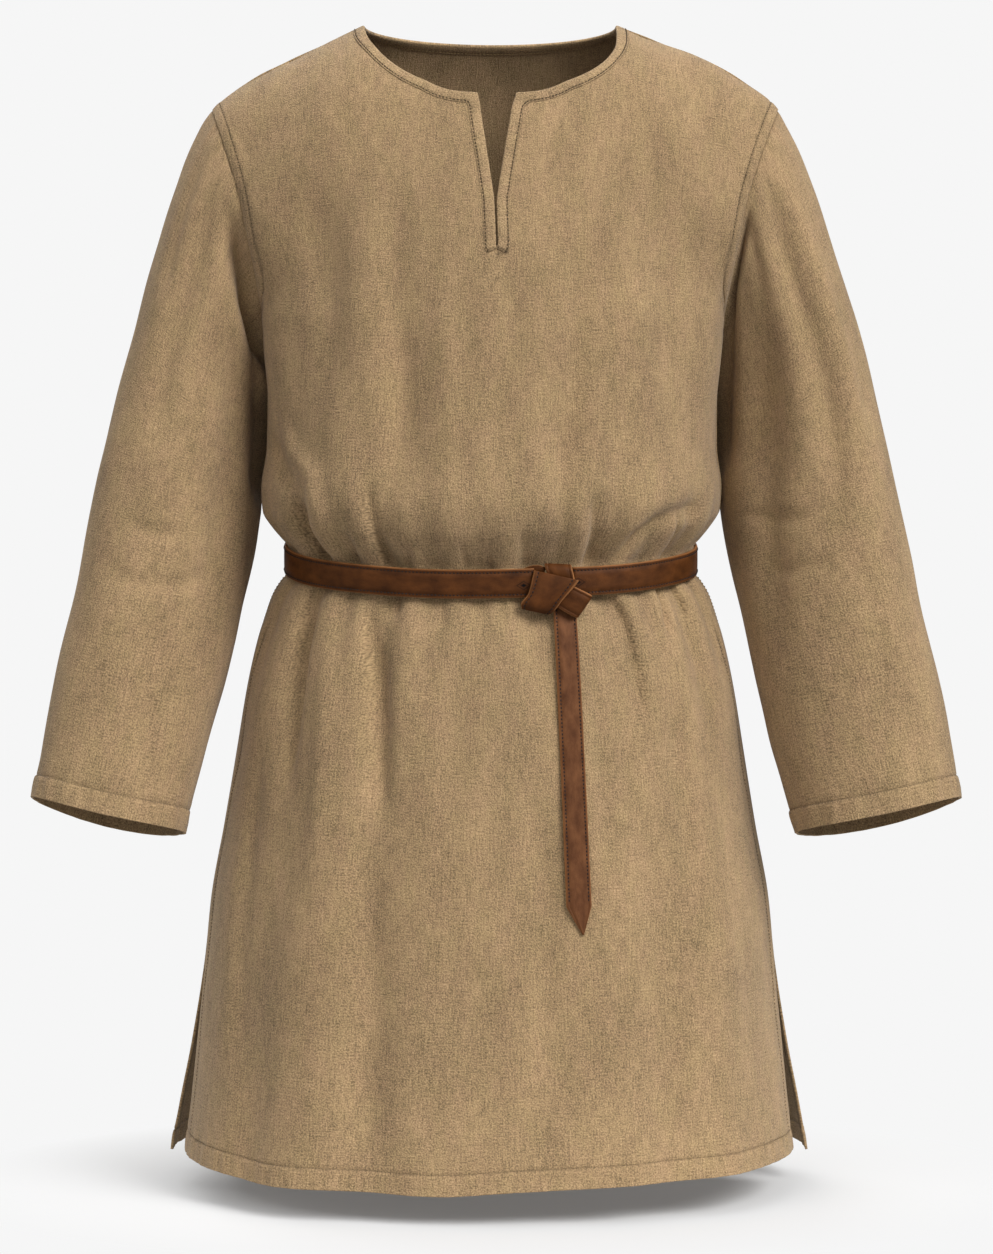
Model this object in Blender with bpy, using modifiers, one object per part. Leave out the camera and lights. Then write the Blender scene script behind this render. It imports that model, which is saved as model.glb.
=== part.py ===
"""Knee-length linen tunic with open side slits and a knotted leather belt, hollow as worn.

Tables are in millimetres and degrees. The front faces -Y, +X is to the viewer's right and
+Z is up. The origin lies on the line between the shoulders, where the wearer holds it up.
Each cloth piece is an open surface through sections, thickened to the cloth's wall.
"""
import math
from collections import namedtuple

import bpy
import numpy as np
from mathutils import Vector

MM = 0.001
COLLECTION = "Belted linen tunic"

# Driving sizes
WALL = 1.6
SEAM_GAP = 0.55
YOKE_LEVEL = -235.0
NECK_HALF_WIDTH = 110.0
NECK_POINT_HEIGHT = 28.0
FRONT_NECK_DROP = 56.0
FRONT_NECK_REACH = 75.0
BACK_NECK_DROP = 17.0
BACK_NECK_REACH = 70.0
SHOULDER_TIP = (246.0, 0.0, -44.0)
ARMHOLE_SHARE = 0.53
BELT_LEVEL = -430.0
BELT_WIDTH = 25.0
STRAP_THICKNESS = 3.0
STRAP_CLEARANCE = 0.6
BELT_LEFT_END = 12.0
BELT_RIGHT_END = 25.0
BINDING_THICKNESS = 1.0
BINDING_GAP = 0.4
BINDING_WIDTH = 9.5
CORNER_MITRE = 1.35

LINEN = ("linen", (0.342, 0.247, 0.146, 1.0), 0.9)
BINDING_LINEN = ("binding_linen", (0.370, 0.270, 0.162, 1.0), 0.9)
LEATHER = ("leather", (0.098, 0.036, 0.014, 1.0), 0.5)

# Body of the tunic below the armholes, one row for each level. Half width to the side seams,
# reach to the front and to the back of the plane through the seams, squareness of the oval,
# how far the front centre sags below the back, opening of the side slits in degrees and
# extra half width of the back below the slits' tops.
Level = namedtuple("Level", "level half_width front back squareness sag slit flare")
BODY = (
    Level(YOKE_LEVEL, 197.0, 131, 123, 2.35, 0, 0.0, 0),
    Level(-297, 195.5, 135, 122, 2.35, 1, 0.0, 0),
    Level(-337, 196.0, 141, 121, 2.30, 4, 0.0, 0),
    Level(-371, 200.5, 147, 123, 2.30, 9, 0.0, 0),
    Level(-388, 199.5, 144, 122, 2.25, 12, 0.0, 0),
    Level(-400, 192.0, 135, 118, 2.20, 15, 0.0, 0),
    Level(-410, 183.0, 126, 113, 2.20, 17, 0.0, 0),
    Level(-417, 177.5, 122, 110, 2.20, 17, 0.0, 0),
    Level(-443, 177.0, 122, 110, 2.20, 17, 0.0, 0),
    Level(-451, 183.0, 124, 116, 2.20, 16, 0.0, 0),
    Level(-463, 190.0, 127, 121, 2.20, 14, 0.0, 0),
    Level(-480, 196.0, 132, 127, 2.20, 12, 0.0, 0),
    Level(-510, 204.5, 138, 134, 2.20, 10, 0.0, 0),
    Level(-545, 212.0, 144, 141, 2.20, 8, 0.0, 0),
    Level(-600, 221.0, 151, 149, 2.20, 6, 0.0, 0),
    Level(-670, 232.5, 159, 158, 2.25, 5, 0.0, 0),
    Level(-735, 244.5, 166, 166, 2.25, 5, 0.0, 0),
    Level(-800, 250.5, 172, 173, 2.30, 6, 0.9, 1.5),
    Level(-860, 257.0, 178, 179, 2.30, 7, 1.5, 5.5),
    Level(-910, 262.5, 183, 184, 2.30, 8, 1.9, 11),
    Level(-953, 268.0, 187, 188, 2.30, 9, 2.2, 14),
)

# How much lower the hem hangs than the levels say, by bearing; the drop starts at DROOP_TOP.
Droop = namedtuple("Droop", "bearing drop")
HEM_DROOP = (
    Droop(-90, 4), Droop(-66, 4), Droop(-50, 7), Droop(-30, 5), Droop(-10, 6.5), Droop(5, 2.5),
    Droop(30, 0), Droop(60, 0), Droop(89, 3), Droop(91, 10), Droop(110, 9), Droop(180, 5),
    Droop(250, 9), Droop(269, 10), Droop(270, 10),
)
DROOP_TOP = -790.0

# How far the middle of the garment hangs to the viewer's left, by height.
Lean = namedtuple("Lean", "height shift")
LEAN = (Lean(30, -6), Lean(20, -4), Lean(8, -0.5), Lean(-8, 1), Lean(-25, -0.5), Lean(-45, -1.5),
        Lean(-235, -3), Lean(-440, -5), Lean(-980, -6.5))

# Spokes of the yoke run from the neckline out to the chest and the armhole, one row for each
# step around from the centre, 0, to the shoulder seam, 1. Each is a curve pulled towards one
# point near the neck and one far from it.
Spoke = namedtuple("Spoke", "around near_x near_y near_z far_x far_y far_z")
FRONT_YOKE = (
    Spoke(0.00, 0, -105, -88, 0, -126, -160),
    Spoke(0.25, 56, -108, -84, 128, -108, -160),
    Spoke(0.42, 96, -107, -68, 177, -86, -166),
    Spoke(0.53, 120, -103, -53, 198, -90, -174),
    Spoke(0.62, 136, -98, -38, 200, -84, -152),
    Spoke(0.75, 149, -82, -18, 201, -76, -108),
    Spoke(0.88, 159, -47, -3, 216, -46, -52),
    Spoke(0.96, 163, -17, 3, 224, -17, -24),
    Spoke(1.00, 164, 0, 4, 226, 0, -19),
)
BACK_YOKE = (
    Spoke(0.00, 0, 112, -41, 0, 123, -155),
    Spoke(0.25, 58, 110, -38, 128, 105, -155),
    Spoke(0.42, 98, 106, -32, 177, 83, -161),
    Spoke(0.53, 121, 100, -22, 198, 87, -171),
    Spoke(0.62, 136, 95, -13, 200, 82, -150),
    Spoke(0.75, 149, 78, -4, 201, 75, -107),
    Spoke(0.88, 159, 45, 1, 216, 46, -51),
    Spoke(0.96, 163, 16, 3, 224, 17, -24),
    Spoke(1.00, 164, 0, 4, 226, 0, -19),
)
# How far around a point of the yoke is blended with its neighbours, and the rows between
# which the blend starts and ends.
BLEND_REACH = 0.2
BLEND_ROWS = (0.0, 0.3, 0.75, 1.0)
BLEND_STEPS = 4

# Opening at the front of the neck, by the way down from the neckline: half its width
# between the cut edges, and how far its middle stands to the viewer's right.
Opening = namedtuple("Opening", "down half_gap offset")
NECK_SLIT = (Opening(0.0, 16.6, 1.0), Opening(0.23, 9.3, 1.2), Opening(0.42, 3.2, 1.4),
             Opening(0.46, 2.0, 1.5), Opening(0.63, 1.7, 3.0))
NECK_SLIT_END = 0.66
NECK_SLIT_REACH = 60.0
SLIT_BOTTOM_ROW = 0.63

# Soft folds and gathers: bearing from the front centre, width in degrees, depth inward
# (below 0 it stands out), and the levels where it starts, is full, and ends.
Fold = namedtuple("Fold", "bearing width depth top full_from full_to bottom")
FRONT_GATHERS = (
    Fold(-76, 4.5, 6, -362, -404, -460, -560),
    Fold(-56, 4.5, 9, -325, -404, -466, -650),
    Fold(-42, 4.0, 6, -352, -404, -456, -520),
    Fold(-28, 4.5, 9, -285, -404, -468, -700),
    Fold(-16, 4.0, 5, -368, -404, -458, -560),
    Fold(-3, 4.5, 6, -345, -404, -456, -540),
    Fold(11, 4.5, 6, -362, -404, -458, -560),
    Fold(32, 4.5, 9, -320, -404, -468, -690),
    Fold(46, 4.0, 5, -366, -404, -456, -535),
    Fold(61, 4.5, 8, -345, -404, -464, -620),
    Fold(76, 4.5, 6, -364, -404, -460, -555),
)
BACK_GATHERS = (
    Fold(104, 5.0, 7, -355, -404, -462, -600),
    Fold(121, 5.0, 8, -330, -404, -464, -660),
    Fold(137, 4.5, 6, -362, -404, -458, -560),
    Fold(154, 5.0, 9, -310, -404, -466, -700),
    Fold(171, 4.5, 6, -350, -404, -458, -580),
    Fold(188, 5.0, 8, -325, -404, -466, -650),
    Fold(204, 4.5, 6, -360, -404, -458, -560),
    Fold(221, 5.0, 9, -315, -404, -466, -690),
    Fold(238, 4.5, 7, -350, -404, -462, -610),
    Fold(255, 5.0, 6, -362, -404, -460, -580),
)
LONG_FOLDS = (
    Fold(17, 9.0, 4, -372, -402, -430, -480),
    Fold(-21, 6.5, 5, -120, -300, -360, -425),
    Fold(19, 6.5, 4, -170, -320, -365, -425),
    Fold(-41, 8.0, -3, -120, -260, -340, -400),
    Fold(40, 9.0, -3, -120, -250, -340, -400),
    Fold(-54, 6.0, 6, -560, -800, -960, -1100),
    Fold(-23, 6.5, 6, -500, -760, -960, -1100),
    Fold(-38, 7.0, -4, -540, -800, -960, -1100),
    Fold(37, 5.5, 5, -560, -760, -900, -1060),
    Fold(52, 7.0, -4, -560, -800, -960, -1100),
    Fold(124, 8.0, 6, -520, -780, -960, -1100),
    Fold(150, 8.0, -4, -540, -800, -960, -1100),
    Fold(168, 7.0, 7, -500, -780, -960, -1100),
    Fold(209, 8.0, 6, -520, -760, -960, -1100),
    Fold(236, 8.0, -4, -540, -800, -960, -1100),
    Fold(160, 8.0, 5, -110, -280, -360, -425),
    Fold(203, 8.0, 5, -120, -290, -360, -425),
)
BODY_FOLDS = FRONT_GATHERS + BACK_GATHERS + LONG_FOLDS

# Sleeve rings from the armhole, 0, to the cuff, 1: outermost and innermost point of the
# oval, half its depth, and how much its front is raised over its back. CUFF_SAG is the
# share of that rise by which front and back both hang lower.
Ring = namedtuple(
    "Ring", "along outer_x outer_y outer_z inner_x inner_y inner_z half_depth tilt")
SLEEVE = (
    Ring(0.00, 247.0, 0, -45, 204.0, 0, -235, 52, 0.00),
    Ring(0.08, 268.0, -1, -87, 203.2, 13, -252, 60, 0.00),
    Ring(0.18, 290.0, -3, -150, 198.0, 28, -279, 67, 0.00),
    Ring(0.30, 311.0, -6, -216, 194.8, 39, -318, 70, 0.02),
    Ring(0.44, 332.5, -12, -297, 199.5, 30, -368, 68, 0.06),
    Ring(0.58, 350.5, -22, -376, 206.0, 20, -420, 65, 0.11),
    Ring(0.72, 367.0, -35, -459, 222.0, 0, -490, 61, 0.16),
    Ring(0.86, 387.0, -49, -548, 243.0, -26, -580, 58, 0.20),
    Ring(1.00, 405.0, -63, -640, 269.5, -52, -672, 54, 0.250),
)
CUFF_SAG = 0.4
# Where the sleeve starts past the armhole's edge, from the armpit, 0, to the shoulder, 1.
Start = namedtuple("Start", "along x y z")
SLEEVE_START = (Start(0, 5.0, 0, 0), Start(0.2, 3.6, 0.4, -0.4), Start(0.5, 2.0, 0.6, -0.8),
                Start(1, 1.1, 0, -1.0))
LOOP_FADE = 0.35

# Creases of the sleeves: turn around the ring from the outer side over the front at the top
# and at the bottom of the crease, width in degrees, depth, and its reach along the sleeve.
Crease = namedtuple("Crease", "turn_top turn_bottom width depth top full_from full_to bottom")
RIGHT_CREASES = (
    Crease(95, 140, 17, 9, 0.12, 0.34, 0.62, 0.84),
    Crease(58, 66, 20, -4, 0.10, 0.35, 0.70, 0.95),
    Crease(255, 230, 18, 7, 0.25, 0.48, 0.62, 0.85),
)
LEFT_CREASES = (
    Crease(120, 128, 16, 6, 0.10, 0.30, 0.60, 0.86),
    Crease(80, 84, 20, -4, 0.15, 0.40, 0.70, 0.95),
    Crease(250, 235, 18, 7, 0.22, 0.44, 0.60, 0.82),
)

# Rows and columns of the surfaces
SKIRT_LEVELS = (-953, -905, -850, -790, -735, -670, -610, -560, -520, -487, -464)
WAIST_LEVELS = (-452, -443, -417, -409, -400, -387, -371, -345, -310, -272, YOKE_LEVEL)
YOKE_ROWS = (1.0, 0.83, NECK_SLIT_END, SLIT_BOTTOM_ROW, 0.46, 0.30, 0.15, 0.045, 0.0)
BINDING_COLUMN = 3.0
ARMHOLE_COLUMNS = 7
COLUMN_SPACING = (3.0, 7.5)
SLEEVE_RINGS = (0, 0.035, 0.08, 0.13, 0.19, 0.26, 0.33, 0.40, 0.47, 0.54, 0.61, 0.68, 0.76,
                0.84, 0.92, 1.0)
SLEEVE_COLUMNS = 22
BELT_SECTIONS = 72

# Knot and tail: stretches of strap between a left and a right edge, with the depth of the
# strap's middle in front of the side seams.
Edge = namedtuple("Edge", "left_x left_z right_x right_z left_y right_y")
KNOT_WRAP = (
    Edge(44.5, -447, 66.5, -447, -121.6, -118.0),
    Edge(44.5, -436, 67.0, -437, -121.6, -118.0),
    Edge(44.5, -428, 67.0, -429, -121.8, -118.6),
    Edge(44.5, -425.6, 67.0, -426.6, -123.6, -124.0),
    Edge(44.5, -428.4, 67.0, -429.4, -125.1, -128.6),
    Edge(44.0, -436, 67.0, -437, -124.9, -129.0),
    Edge(44.0, -443, 67.0, -444, -124.7, -129.0),
)
KNOT_FRONT = (
    Edge(33.5, -434.5, 70.5, -442.0, -126.3, -133.8),
    Edge(30.5, -443.5, 64.5, -450.0, -127.8, -133.8),
    Edge(26.5, -454.5, 56.5, -458.5, -130.2, -133.8),
    Edge(18.5, -461.0, 48.0, -467.5, -129.2, -131.6),
)
KNOT_CORNER = (
    Edge(48.5, -463.0, 63.5, -447.0, -127.6, -129.6),
    Edge(57.0, -468.0, 73.0, -450.5, -129.4, -130.0),
    Edge(66.5, -473.0, 80.5, -454.0, -128.8, -128.4),
    Edge(68.5, -473.4, 81.6, -455.0, -126.2, -125.6),
)
KNOT_TUCK = (
    Edge(28.5, -437.0, 28.0, -430.5, -119.6, -119.6),
    Edge(34.0, -437.0, 34.0, -429.5, -120.0, -120.0),
    Edge(41.0, -436.0, 41.5, -427.5, -121.4, -121.4),
)
# Tail of the belt by level: left and right edge
TailRow = namedtuple("TailRow", "level left right")
TAIL = (
    TailRow(-443, 47.8, 67.2), TailRow(-452, 48.2, 67.6), TailRow(-463, 48.6, 68.2),
    TailRow(-480, 49.4, 69.2), TailRow(-510, 50.8, 71.0), TailRow(-550, 52.4, 73.0),
    TailRow(-600, 54.6, 75.4), TailRow(-650, 56.6, 77.8), TailRow(-700, 58.6, 80.2),
    TailRow(-716, 59.2, 80.8), TailRow(-740, 73.0, 74.2),
)


def read(rows, key, column, at):
    """A smooth curve through one column of a table, without overshoot, read at key values."""
    ordered = sorted(rows, key=lambda row: getattr(row, key))
    x = np.array([getattr(row, key) for row in ordered], float)
    y = np.array([getattr(row, column) for row in ordered], float)
    step = np.diff(x)
    slope = np.diff(y) / step
    tangent = np.zeros_like(y)
    tangent[0], tangent[-1] = slope[0], slope[-1]
    for i in range(1, len(y) - 1):
        if slope[i - 1] * slope[i] > 0:
            before, after = 2 * step[i] + step[i - 1], step[i] + 2 * step[i - 1]
            tangent[i] = (before + after) / (before / slope[i - 1] + after / slope[i])
    at = np.clip(np.asarray(at, float), x[0], x[-1])
    i = np.clip(np.searchsorted(x, at) - 1, 0, len(step) - 1)
    t = (at - x[i]) / step[i]
    return (y[i] * (1 + 2 * t) * (1 - t) ** 2 + y[i + 1] * t * t * (3 - 2 * t)
            + step[i] * (tangent[i] * t * (1 - t) ** 2 - tangent[i + 1] * t * t * (1 - t)))


def ease(value, start, end):
    """0 at start, 1 at end, with level ends."""
    t = np.clip((value - start) / (end - start), 0, 1)
    return t * t * (3 - 2 * t)


def bezier(a, b, c, d, t):
    return a * (1 - t) ** 3 + 3 * b * t * (1 - t) ** 2 + 3 * c * t * t * (1 - t) + d * t ** 3


def lean(points):
    """Hang the points to the side by their height."""
    points = points.copy()
    points[..., 0] += read(LEAN, "height", "shift", points[..., 2])
    return points


def body_point(bearing, level, flare=0.0):
    """Middle of the wall at a bearing in degrees from the front centre, over +X."""
    angle = np.radians(bearing)
    level = np.asarray(level, float) + 0 * angle
    across, forward = np.sin(angle), np.cos(angle)
    power = read(BODY, "level", "squareness", level)
    reach = np.where(forward > 0, -read(BODY, "level", "front", level),
                     read(BODY, "level", "back", level))
    x = (read(BODY, "level", "half_width", level) + flare) * across
    y = reach * np.clip(1 - np.abs(across) ** power, 0, 1) ** (1 / power)
    z = level - read(BODY, "level", "sag", level) * ((1 + forward) / 2) ** 1.5
    return np.stack([x, y, z], axis=-1)


def outward(bearing, level):
    """Level direction out of the body's oval."""
    angle = np.radians(bearing)
    reach = np.where(np.cos(angle) > 0, read(BODY, "level", "front", level),
                     read(BODY, "level", "back", level))
    x = np.sin(angle) / read(BODY, "level", "half_width", level)
    y = -np.cos(angle) / reach
    size = np.hypot(x, y)
    return np.stack([x / size, y / size, 0 * x], axis=-1)


def fold_depth(bearing, level):
    """How far the folds move the wall inward."""
    depth = 0 * (bearing + level)
    for fold in BODY_FOLDS:
        away = (bearing - fold.bearing + 180) % 360 - 180
        reach = ease(level, fold.top, fold.full_from) * ease(level, fold.bottom, fold.full_to)
        depth = depth + fold.depth * reach * np.exp(-(away / fold.width) ** 2)
    return depth


def folded(points, bearing, level):
    """Move the wall in at the folds and let the hem droop."""
    points = points - outward(bearing, level) * fold_depth(bearing, level)[..., None]
    points[..., 2] -= (read(HEM_DROOP, "bearing", "drop", bearing)
                       * ease(level, DROOP_TOP, min(SKIRT_LEVELS)))
    return points


def neckline(side, around):
    """Half of the neckline, from the centre to the shoulder; side is -1 at the front."""
    angle = np.asarray(around, float) * math.pi / 2
    rise = np.clip(np.cos(angle), 0, 1)
    drop, reach = ((FRONT_NECK_DROP, FRONT_NECK_REACH) if side < 0
                   else (BACK_NECK_DROP, BACK_NECK_REACH))
    x = NECK_HALF_WIDTH * np.sin(angle)
    return np.stack([x, side * reach * rise ** 0.625, NECK_POINT_HEIGHT - drop * rise], -1)


def armhole(side, along):
    """Half of the armhole's edge, from the armpit to the shoulder tip."""
    pit = body_point(90.0, YOKE_LEVEL)
    t = np.asarray(along, float)[..., None]
    return bezier(pit, np.array([190, side * 66, -190]), np.array([236, side * 70, -60]),
                  np.array(SHOULDER_TIP), t)


def spoke_point(side, around, down):
    """Raw half of the yoke: from the neckline, down 0, to the chest or the armhole, down 1."""
    rows = FRONT_YOKE if side < 0 else BACK_YOKE
    near = np.stack([read(rows, "around", "near_" + axis, around) for axis in "xyz"], -1)
    far = np.stack([read(rows, "around", "far_" + axis, around) for axis in "xyz"], -1)
    step = np.clip(around / ARMHOLE_SHARE, 0, 1) * 90
    chest = body_point(step if side < 0 else 180 - step, YOKE_LEVEL)
    past = np.clip((around - ARMHOLE_SHARE) / (1 - ARMHOLE_SHARE), 0, 1)
    end = np.where((around <= ARMHOLE_SHARE)[..., None], chest, armhole(side, past))
    return bezier(neckline(side, around), near, far, end, down[..., None])


def yoke_point(side, around, down, mirror):
    """The yoke blended across its spokes, with its folds and the slit."""
    around = np.asarray(around, float) + 0 * down
    down = np.asarray(down, float) + 0 * around
    top, start, finish, bottom = BLEND_ROWS
    reach = BLEND_REACH * ease(down, top, start) * ease(down, bottom, finish)
    reach = np.minimum(reach, np.minimum(around, 1 - around))
    points, total = 0, 0
    for step in range(-BLEND_STEPS, BLEND_STEPS + 1):
        share = step / (BLEND_STEPS + 1)
        weight = (1 - share ** 2) ** 2
        points = points + weight * spoke_point(side, around + reach * share, down)
        total += weight
    points = points / total
    step = np.clip(around / ARMHOLE_SHARE, 0, 1) * 90
    bearing = step if side < 0 else 180 - step
    turned = mirror * step if side < 0 else 180 - mirror * step
    depth = np.where(around < ARMHOLE_SHARE, fold_depth(turned, points[..., 2]), 0)
    points = points - outward(bearing, YOKE_LEVEL + 0 * bearing) * depth[..., None]
    if side < 0:
        return open_neck(points, mirror, down)
    points[..., 0] *= mirror
    return points


def open_neck(points, mirror, down):
    """Part the front along the slit; the second column keeps the binding's width from it."""
    across = points[..., 0].copy()
    gap = np.where(down < NECK_SLIT_END, read(NECK_SLIT, "down", "half_gap", down), 0)
    offset = read(NECK_SLIT, "down", "offset", down) * ease(down, 0.95, 0.6)
    second = across[:, 1:2]
    near = np.clip(across / second, 0, 1) * BINDING_WIDTH
    rest = (NECK_SLIT_REACH - gap - BINDING_WIDTH) / (NECK_SLIT_REACH - second)
    parted = gap + near + np.maximum(across - second, 0) * rest
    mixed = np.where(across < NECK_SLIT_REACH, parted, across)
    part = ease(down, 1.0, NECK_SLIT_END)
    fade = np.clip(1 - across / NECK_SLIT_REACH, 0, 1)
    points[..., 0] = mirror * (across + (mixed - across) * part) + offset * fade
    return points


def part_at_seam(points, side):
    """Leave the seam's gap between front and back."""
    points[..., 1] = np.where(points[..., 1] * side < SEAM_GAP / 2, side * SEAM_GAP / 2,
                              points[..., 1])
    return points


def columns(gathers, centre):
    """Bearings of a panel's columns: three at each gather, the rest evenly between them."""
    least, most = COLUMN_SPACING
    wanted = [centre - 90.0, centre, centre + 90.0]
    wanted += [centre - BINDING_COLUMN, centre + BINDING_COLUMN]
    for gather in gathers:
        for bearing in (gather.bearing, gather.bearing - gather.width,
                        gather.bearing + gather.width):
            if min(abs(bearing - other) for other in wanted) >= least:
                wanted.append(bearing)
    wanted.sort()
    result = [wanted[0]]
    for bearing in wanted[1:]:
        pieces = math.ceil((bearing - result[-1]) / most)
        first = result[-1]
        result += [first + (bearing - first) * (i + 1) / pieces for i in range(pieces)]
    return np.array(result)


class Surface:
    """Points and triangles of one open cloth surface, welded as grids are added."""

    def __init__(self):
        self.points, self.faces, self.known = [], [], {}

    def index(self, point):
        key = tuple(round(float(value), 3) for value in point)
        if key not in self.known:
            self.known[key] = len(self.points)
            self.points.append(key)
        return self.known[key]

    def add(self, grid, flip=False):
        """Add a grid of points, rows by columns; returns the points' numbers."""
        number = np.array([[self.index(point) for point in row] for row in grid])
        for a, b in zip(number[:-1], number[1:]):
            for i in range(len(a) - 1):
                for corner in ((a[i], a[i + 1], b[i]), (a[i + 1], b[i + 1], b[i])):
                    if len(set(corner)) == 3:
                        self.faces.append(corner[::-1] if flip else corner)
        return number


def material(name, colour, roughness):
    found = bpy.data.materials.get(name)
    if found:
        return found
    made = bpy.data.materials.new(name)
    made.use_nodes = True
    shader = made.node_tree.nodes["Principled BSDF"]
    shader.inputs["Base Color"].default_value = colour
    shader.inputs["Roughness"].default_value = roughness
    shader.inputs["Metallic"].default_value = 0.0
    return made


def add_object(name, surface, finish, wall=None):
    """Make an object of the surface; a wall thickens it, half to each side."""
    mesh = bpy.data.meshes.new(name)
    mesh.from_pydata([Vector(point) * MM for point in surface.points], [],
                     [tuple(int(i) for i in face) for face in surface.faces])
    mesh.update()
    mesh.shade_smooth()
    mesh.materials.append(material(*finish))
    made = bpy.data.objects.new(name, mesh)
    bpy.data.collections[COLLECTION].objects.link(made)
    if wall:
        thicken = made.modifiers.new("Wall", "SOLIDIFY")
        thicken.thickness = wall * MM
        thicken.offset = 0
        thicken.use_rim = True
    return made


def add_panel(name, side, gathers, centre):
    """Front or back: levels up to the armpits, then two half yokes around the neck."""
    surface = Surface()
    bearings = columns(gathers, centre)
    levels = np.array(SKIRT_LEVELS + WAIST_LEVELS, float)[:, None]
    slit = read(BODY, "level", "slit", levels)
    flare = read(BODY, "level", "flare", levels) * (side > 0)
    turned = centre + (bearings - centre) * (1 - slit / 90)
    lower = folded(body_point(turned, levels, flare), turned, levels + 0 * turned)
    surface.add(lean(part_at_seam(lower, side)), flip=True)

    down = np.array(YOKE_ROWS)[:, None]
    halves = {}
    for mirror in (-1, 1):
        steps = np.sort(-side * mirror * (bearings - centre))
        steps = steps[steps >= 0]
        past = np.sin(np.linspace(0, math.pi / 2, ARMHOLE_COLUMNS + 1)[1:])
        outer = ARMHOLE_SHARE + (1 - ARMHOLE_SHARE) * past
        around = np.concatenate([steps / 90 * ARMHOLE_SHARE, outer])
        points = yoke_point(side, around, down, mirror)
        halves[mirror] = surface.add(lean(part_at_seam(points, side)), flip=mirror * side < 0)
    return add_object(name, surface, LINEN, WALL), surface, halves


def binding_profile(panel, edge, far):
    """Four points of the folded strip around one point of a cut edge, outside to inside."""
    made, surface, _ = panel
    past = (BINDING_GAP + BINDING_THICKNESS / 2)
    reach = WALL / 2 + past
    edge_point, far_point = np.array(surface.points[edge]), np.array(surface.points[far])
    edge_off = np.array(made.data.vertices[edge].normal) * reach
    far_off = np.array(made.data.vertices[far].normal) * reach
    width = np.linalg.norm(edge_point - far_point)
    mitre = CORNER_MITRE if width > 1.25 * BINDING_WIDTH else 1.0
    lip = edge_point + (edge_point - far_point) / width * past * mitre
    return far_point + far_off, lip + edge_off, lip - edge_off, far_point - far_off


def add_binding(front, back):
    """Narrow strip folded over the neckline and down both edges of the slit."""
    surface = Surface()
    slit_row = YOKE_ROWS.index(SLIT_BOTTOM_ROW)
    for mirror in (1, -1):
        grid, back_grid = front[2][mirror], back[2][mirror]
        slit = [binding_profile(front, grid[row, 0], grid[row, 1])
                for row in range(len(grid) - 2, slit_row - 1, -1)]
        corner = binding_profile(front, grid[-1, 0], grid[-2, 1])
        neck = [binding_profile(front, edge, far)
                for edge, far in zip(grid[-1, 1:], grid[-2, 1:])]
        nape = [binding_profile(back, edge, far)
                for edge, far in zip(back_grid[-1], back_grid[-2])]
        seam = tuple((a + b) / 2 for a, b in zip(neck[-1], nape[-1]))
        strips = (([corner] + slit, mirror > 0), ([corner] + neck[:-1] + [seam], mirror < 0),
                  (nape[:-1] + [seam], mirror > 0))
        for strip, flip in strips:
            outer_far, outer_lip, inner_lip, inner_far = np.array(strip).transpose(1, 0, 2)
            surface.add([outer_far, outer_lip], flip)
            surface.add([outer_lip, inner_lip], flip)
            surface.add([inner_far, inner_lip], not flip)
    return add_object("neck_binding", surface, BINDING_LINEN, BINDING_THICKNESS)


def ring_point(turn, along):
    """Oval of the right sleeve; turn is 0 at the outer side and 90 at the front."""
    angle = np.radians(turn)
    outer = np.stack([read(SLEEVE, "along", "outer_" + axis, along) for axis in "xyz"], -1)
    inner = np.stack([read(SLEEVE, "along", "inner_" + axis, along) for axis in "xyz"], -1)
    half_depth = read(SLEEVE, "along", "half_depth", along)
    tilt = read(SLEEVE, "along", "tilt", along)
    centre = (outer + inner) / 2
    point = centre + (outer - centre) * np.cos(angle)[..., None]
    point[..., 1] -= half_depth * np.sin(angle)
    point[..., 2] += half_depth * tilt * (np.sin(angle) - CUFF_SAG * np.sin(angle) ** 2)
    return point, centre


def sleeve_point(turn, along, creases):
    """The right sleeve, fitted to the armhole at its top, with its creases."""
    point, centre = ring_point(turn, along)
    share = np.where(turn <= 180, 1 - turn / 180, turn / 180 - 1)
    side = np.where(turn <= 180, -1.0, 1.0)
    loop = np.where((turn <= 180)[..., None], armhole(-1, share), armhole(1, share))
    for axis, sign in (("x", 1), ("y", side), ("z", 1)):
        loop[..., "xyz".index(axis)] += sign * read(SLEEVE_START, "along", axis, share)
    first, _ = ring_point(turn, 0 * along)
    point = point + (loop - first) * (1 - ease(along, 0, LOOP_FADE))[..., None]
    depth = 0 * turn
    for crease in creases:
        reach = ease(along, crease.top, crease.full_from) \
            * ease(along, crease.bottom, crease.full_to)
        way = np.clip((along - crease.top) / (crease.bottom - crease.top), 0, 1)
        middle = crease.turn_top + (crease.turn_bottom - crease.turn_top) * way
        away = (turn - middle + 180) % 360 - 180
        depth = depth + crease.depth * reach * np.exp(-(away / crease.width) ** 2)
    out = point - centre
    out /= np.linalg.norm(out, axis=-1, keepdims=True)
    return point - out * depth[..., None]


def add_sleeve(name, mirror, creases):
    turn = np.linspace(0, 360, SLEEVE_COLUMNS + 1)[None, :]
    along = np.array(SLEEVE_RINGS)[:, None]
    points = sleeve_point(turn + 0 * along, along + 0 * turn, creases)
    inner_share = 1 - (1 + np.cos(np.radians(turn))) / 2 * ease(along, 0, LOOP_FADE)
    shift = read(LEAN, "height", "shift", points[..., 2]) * inner_share
    points[..., 0] = mirror * points[..., 0] + shift
    surface = Surface()
    surface.add(points, flip=mirror > 0)
    return add_object(name, surface, LINEN, WALL)


def add_strap(name, first_edge, second_edge):
    """A leather strap between two edges."""
    surface = Surface()
    surface.add(np.array([first_edge, second_edge]))
    return add_object(name, surface, LEATHER, STRAP_THICKNESS)


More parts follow.
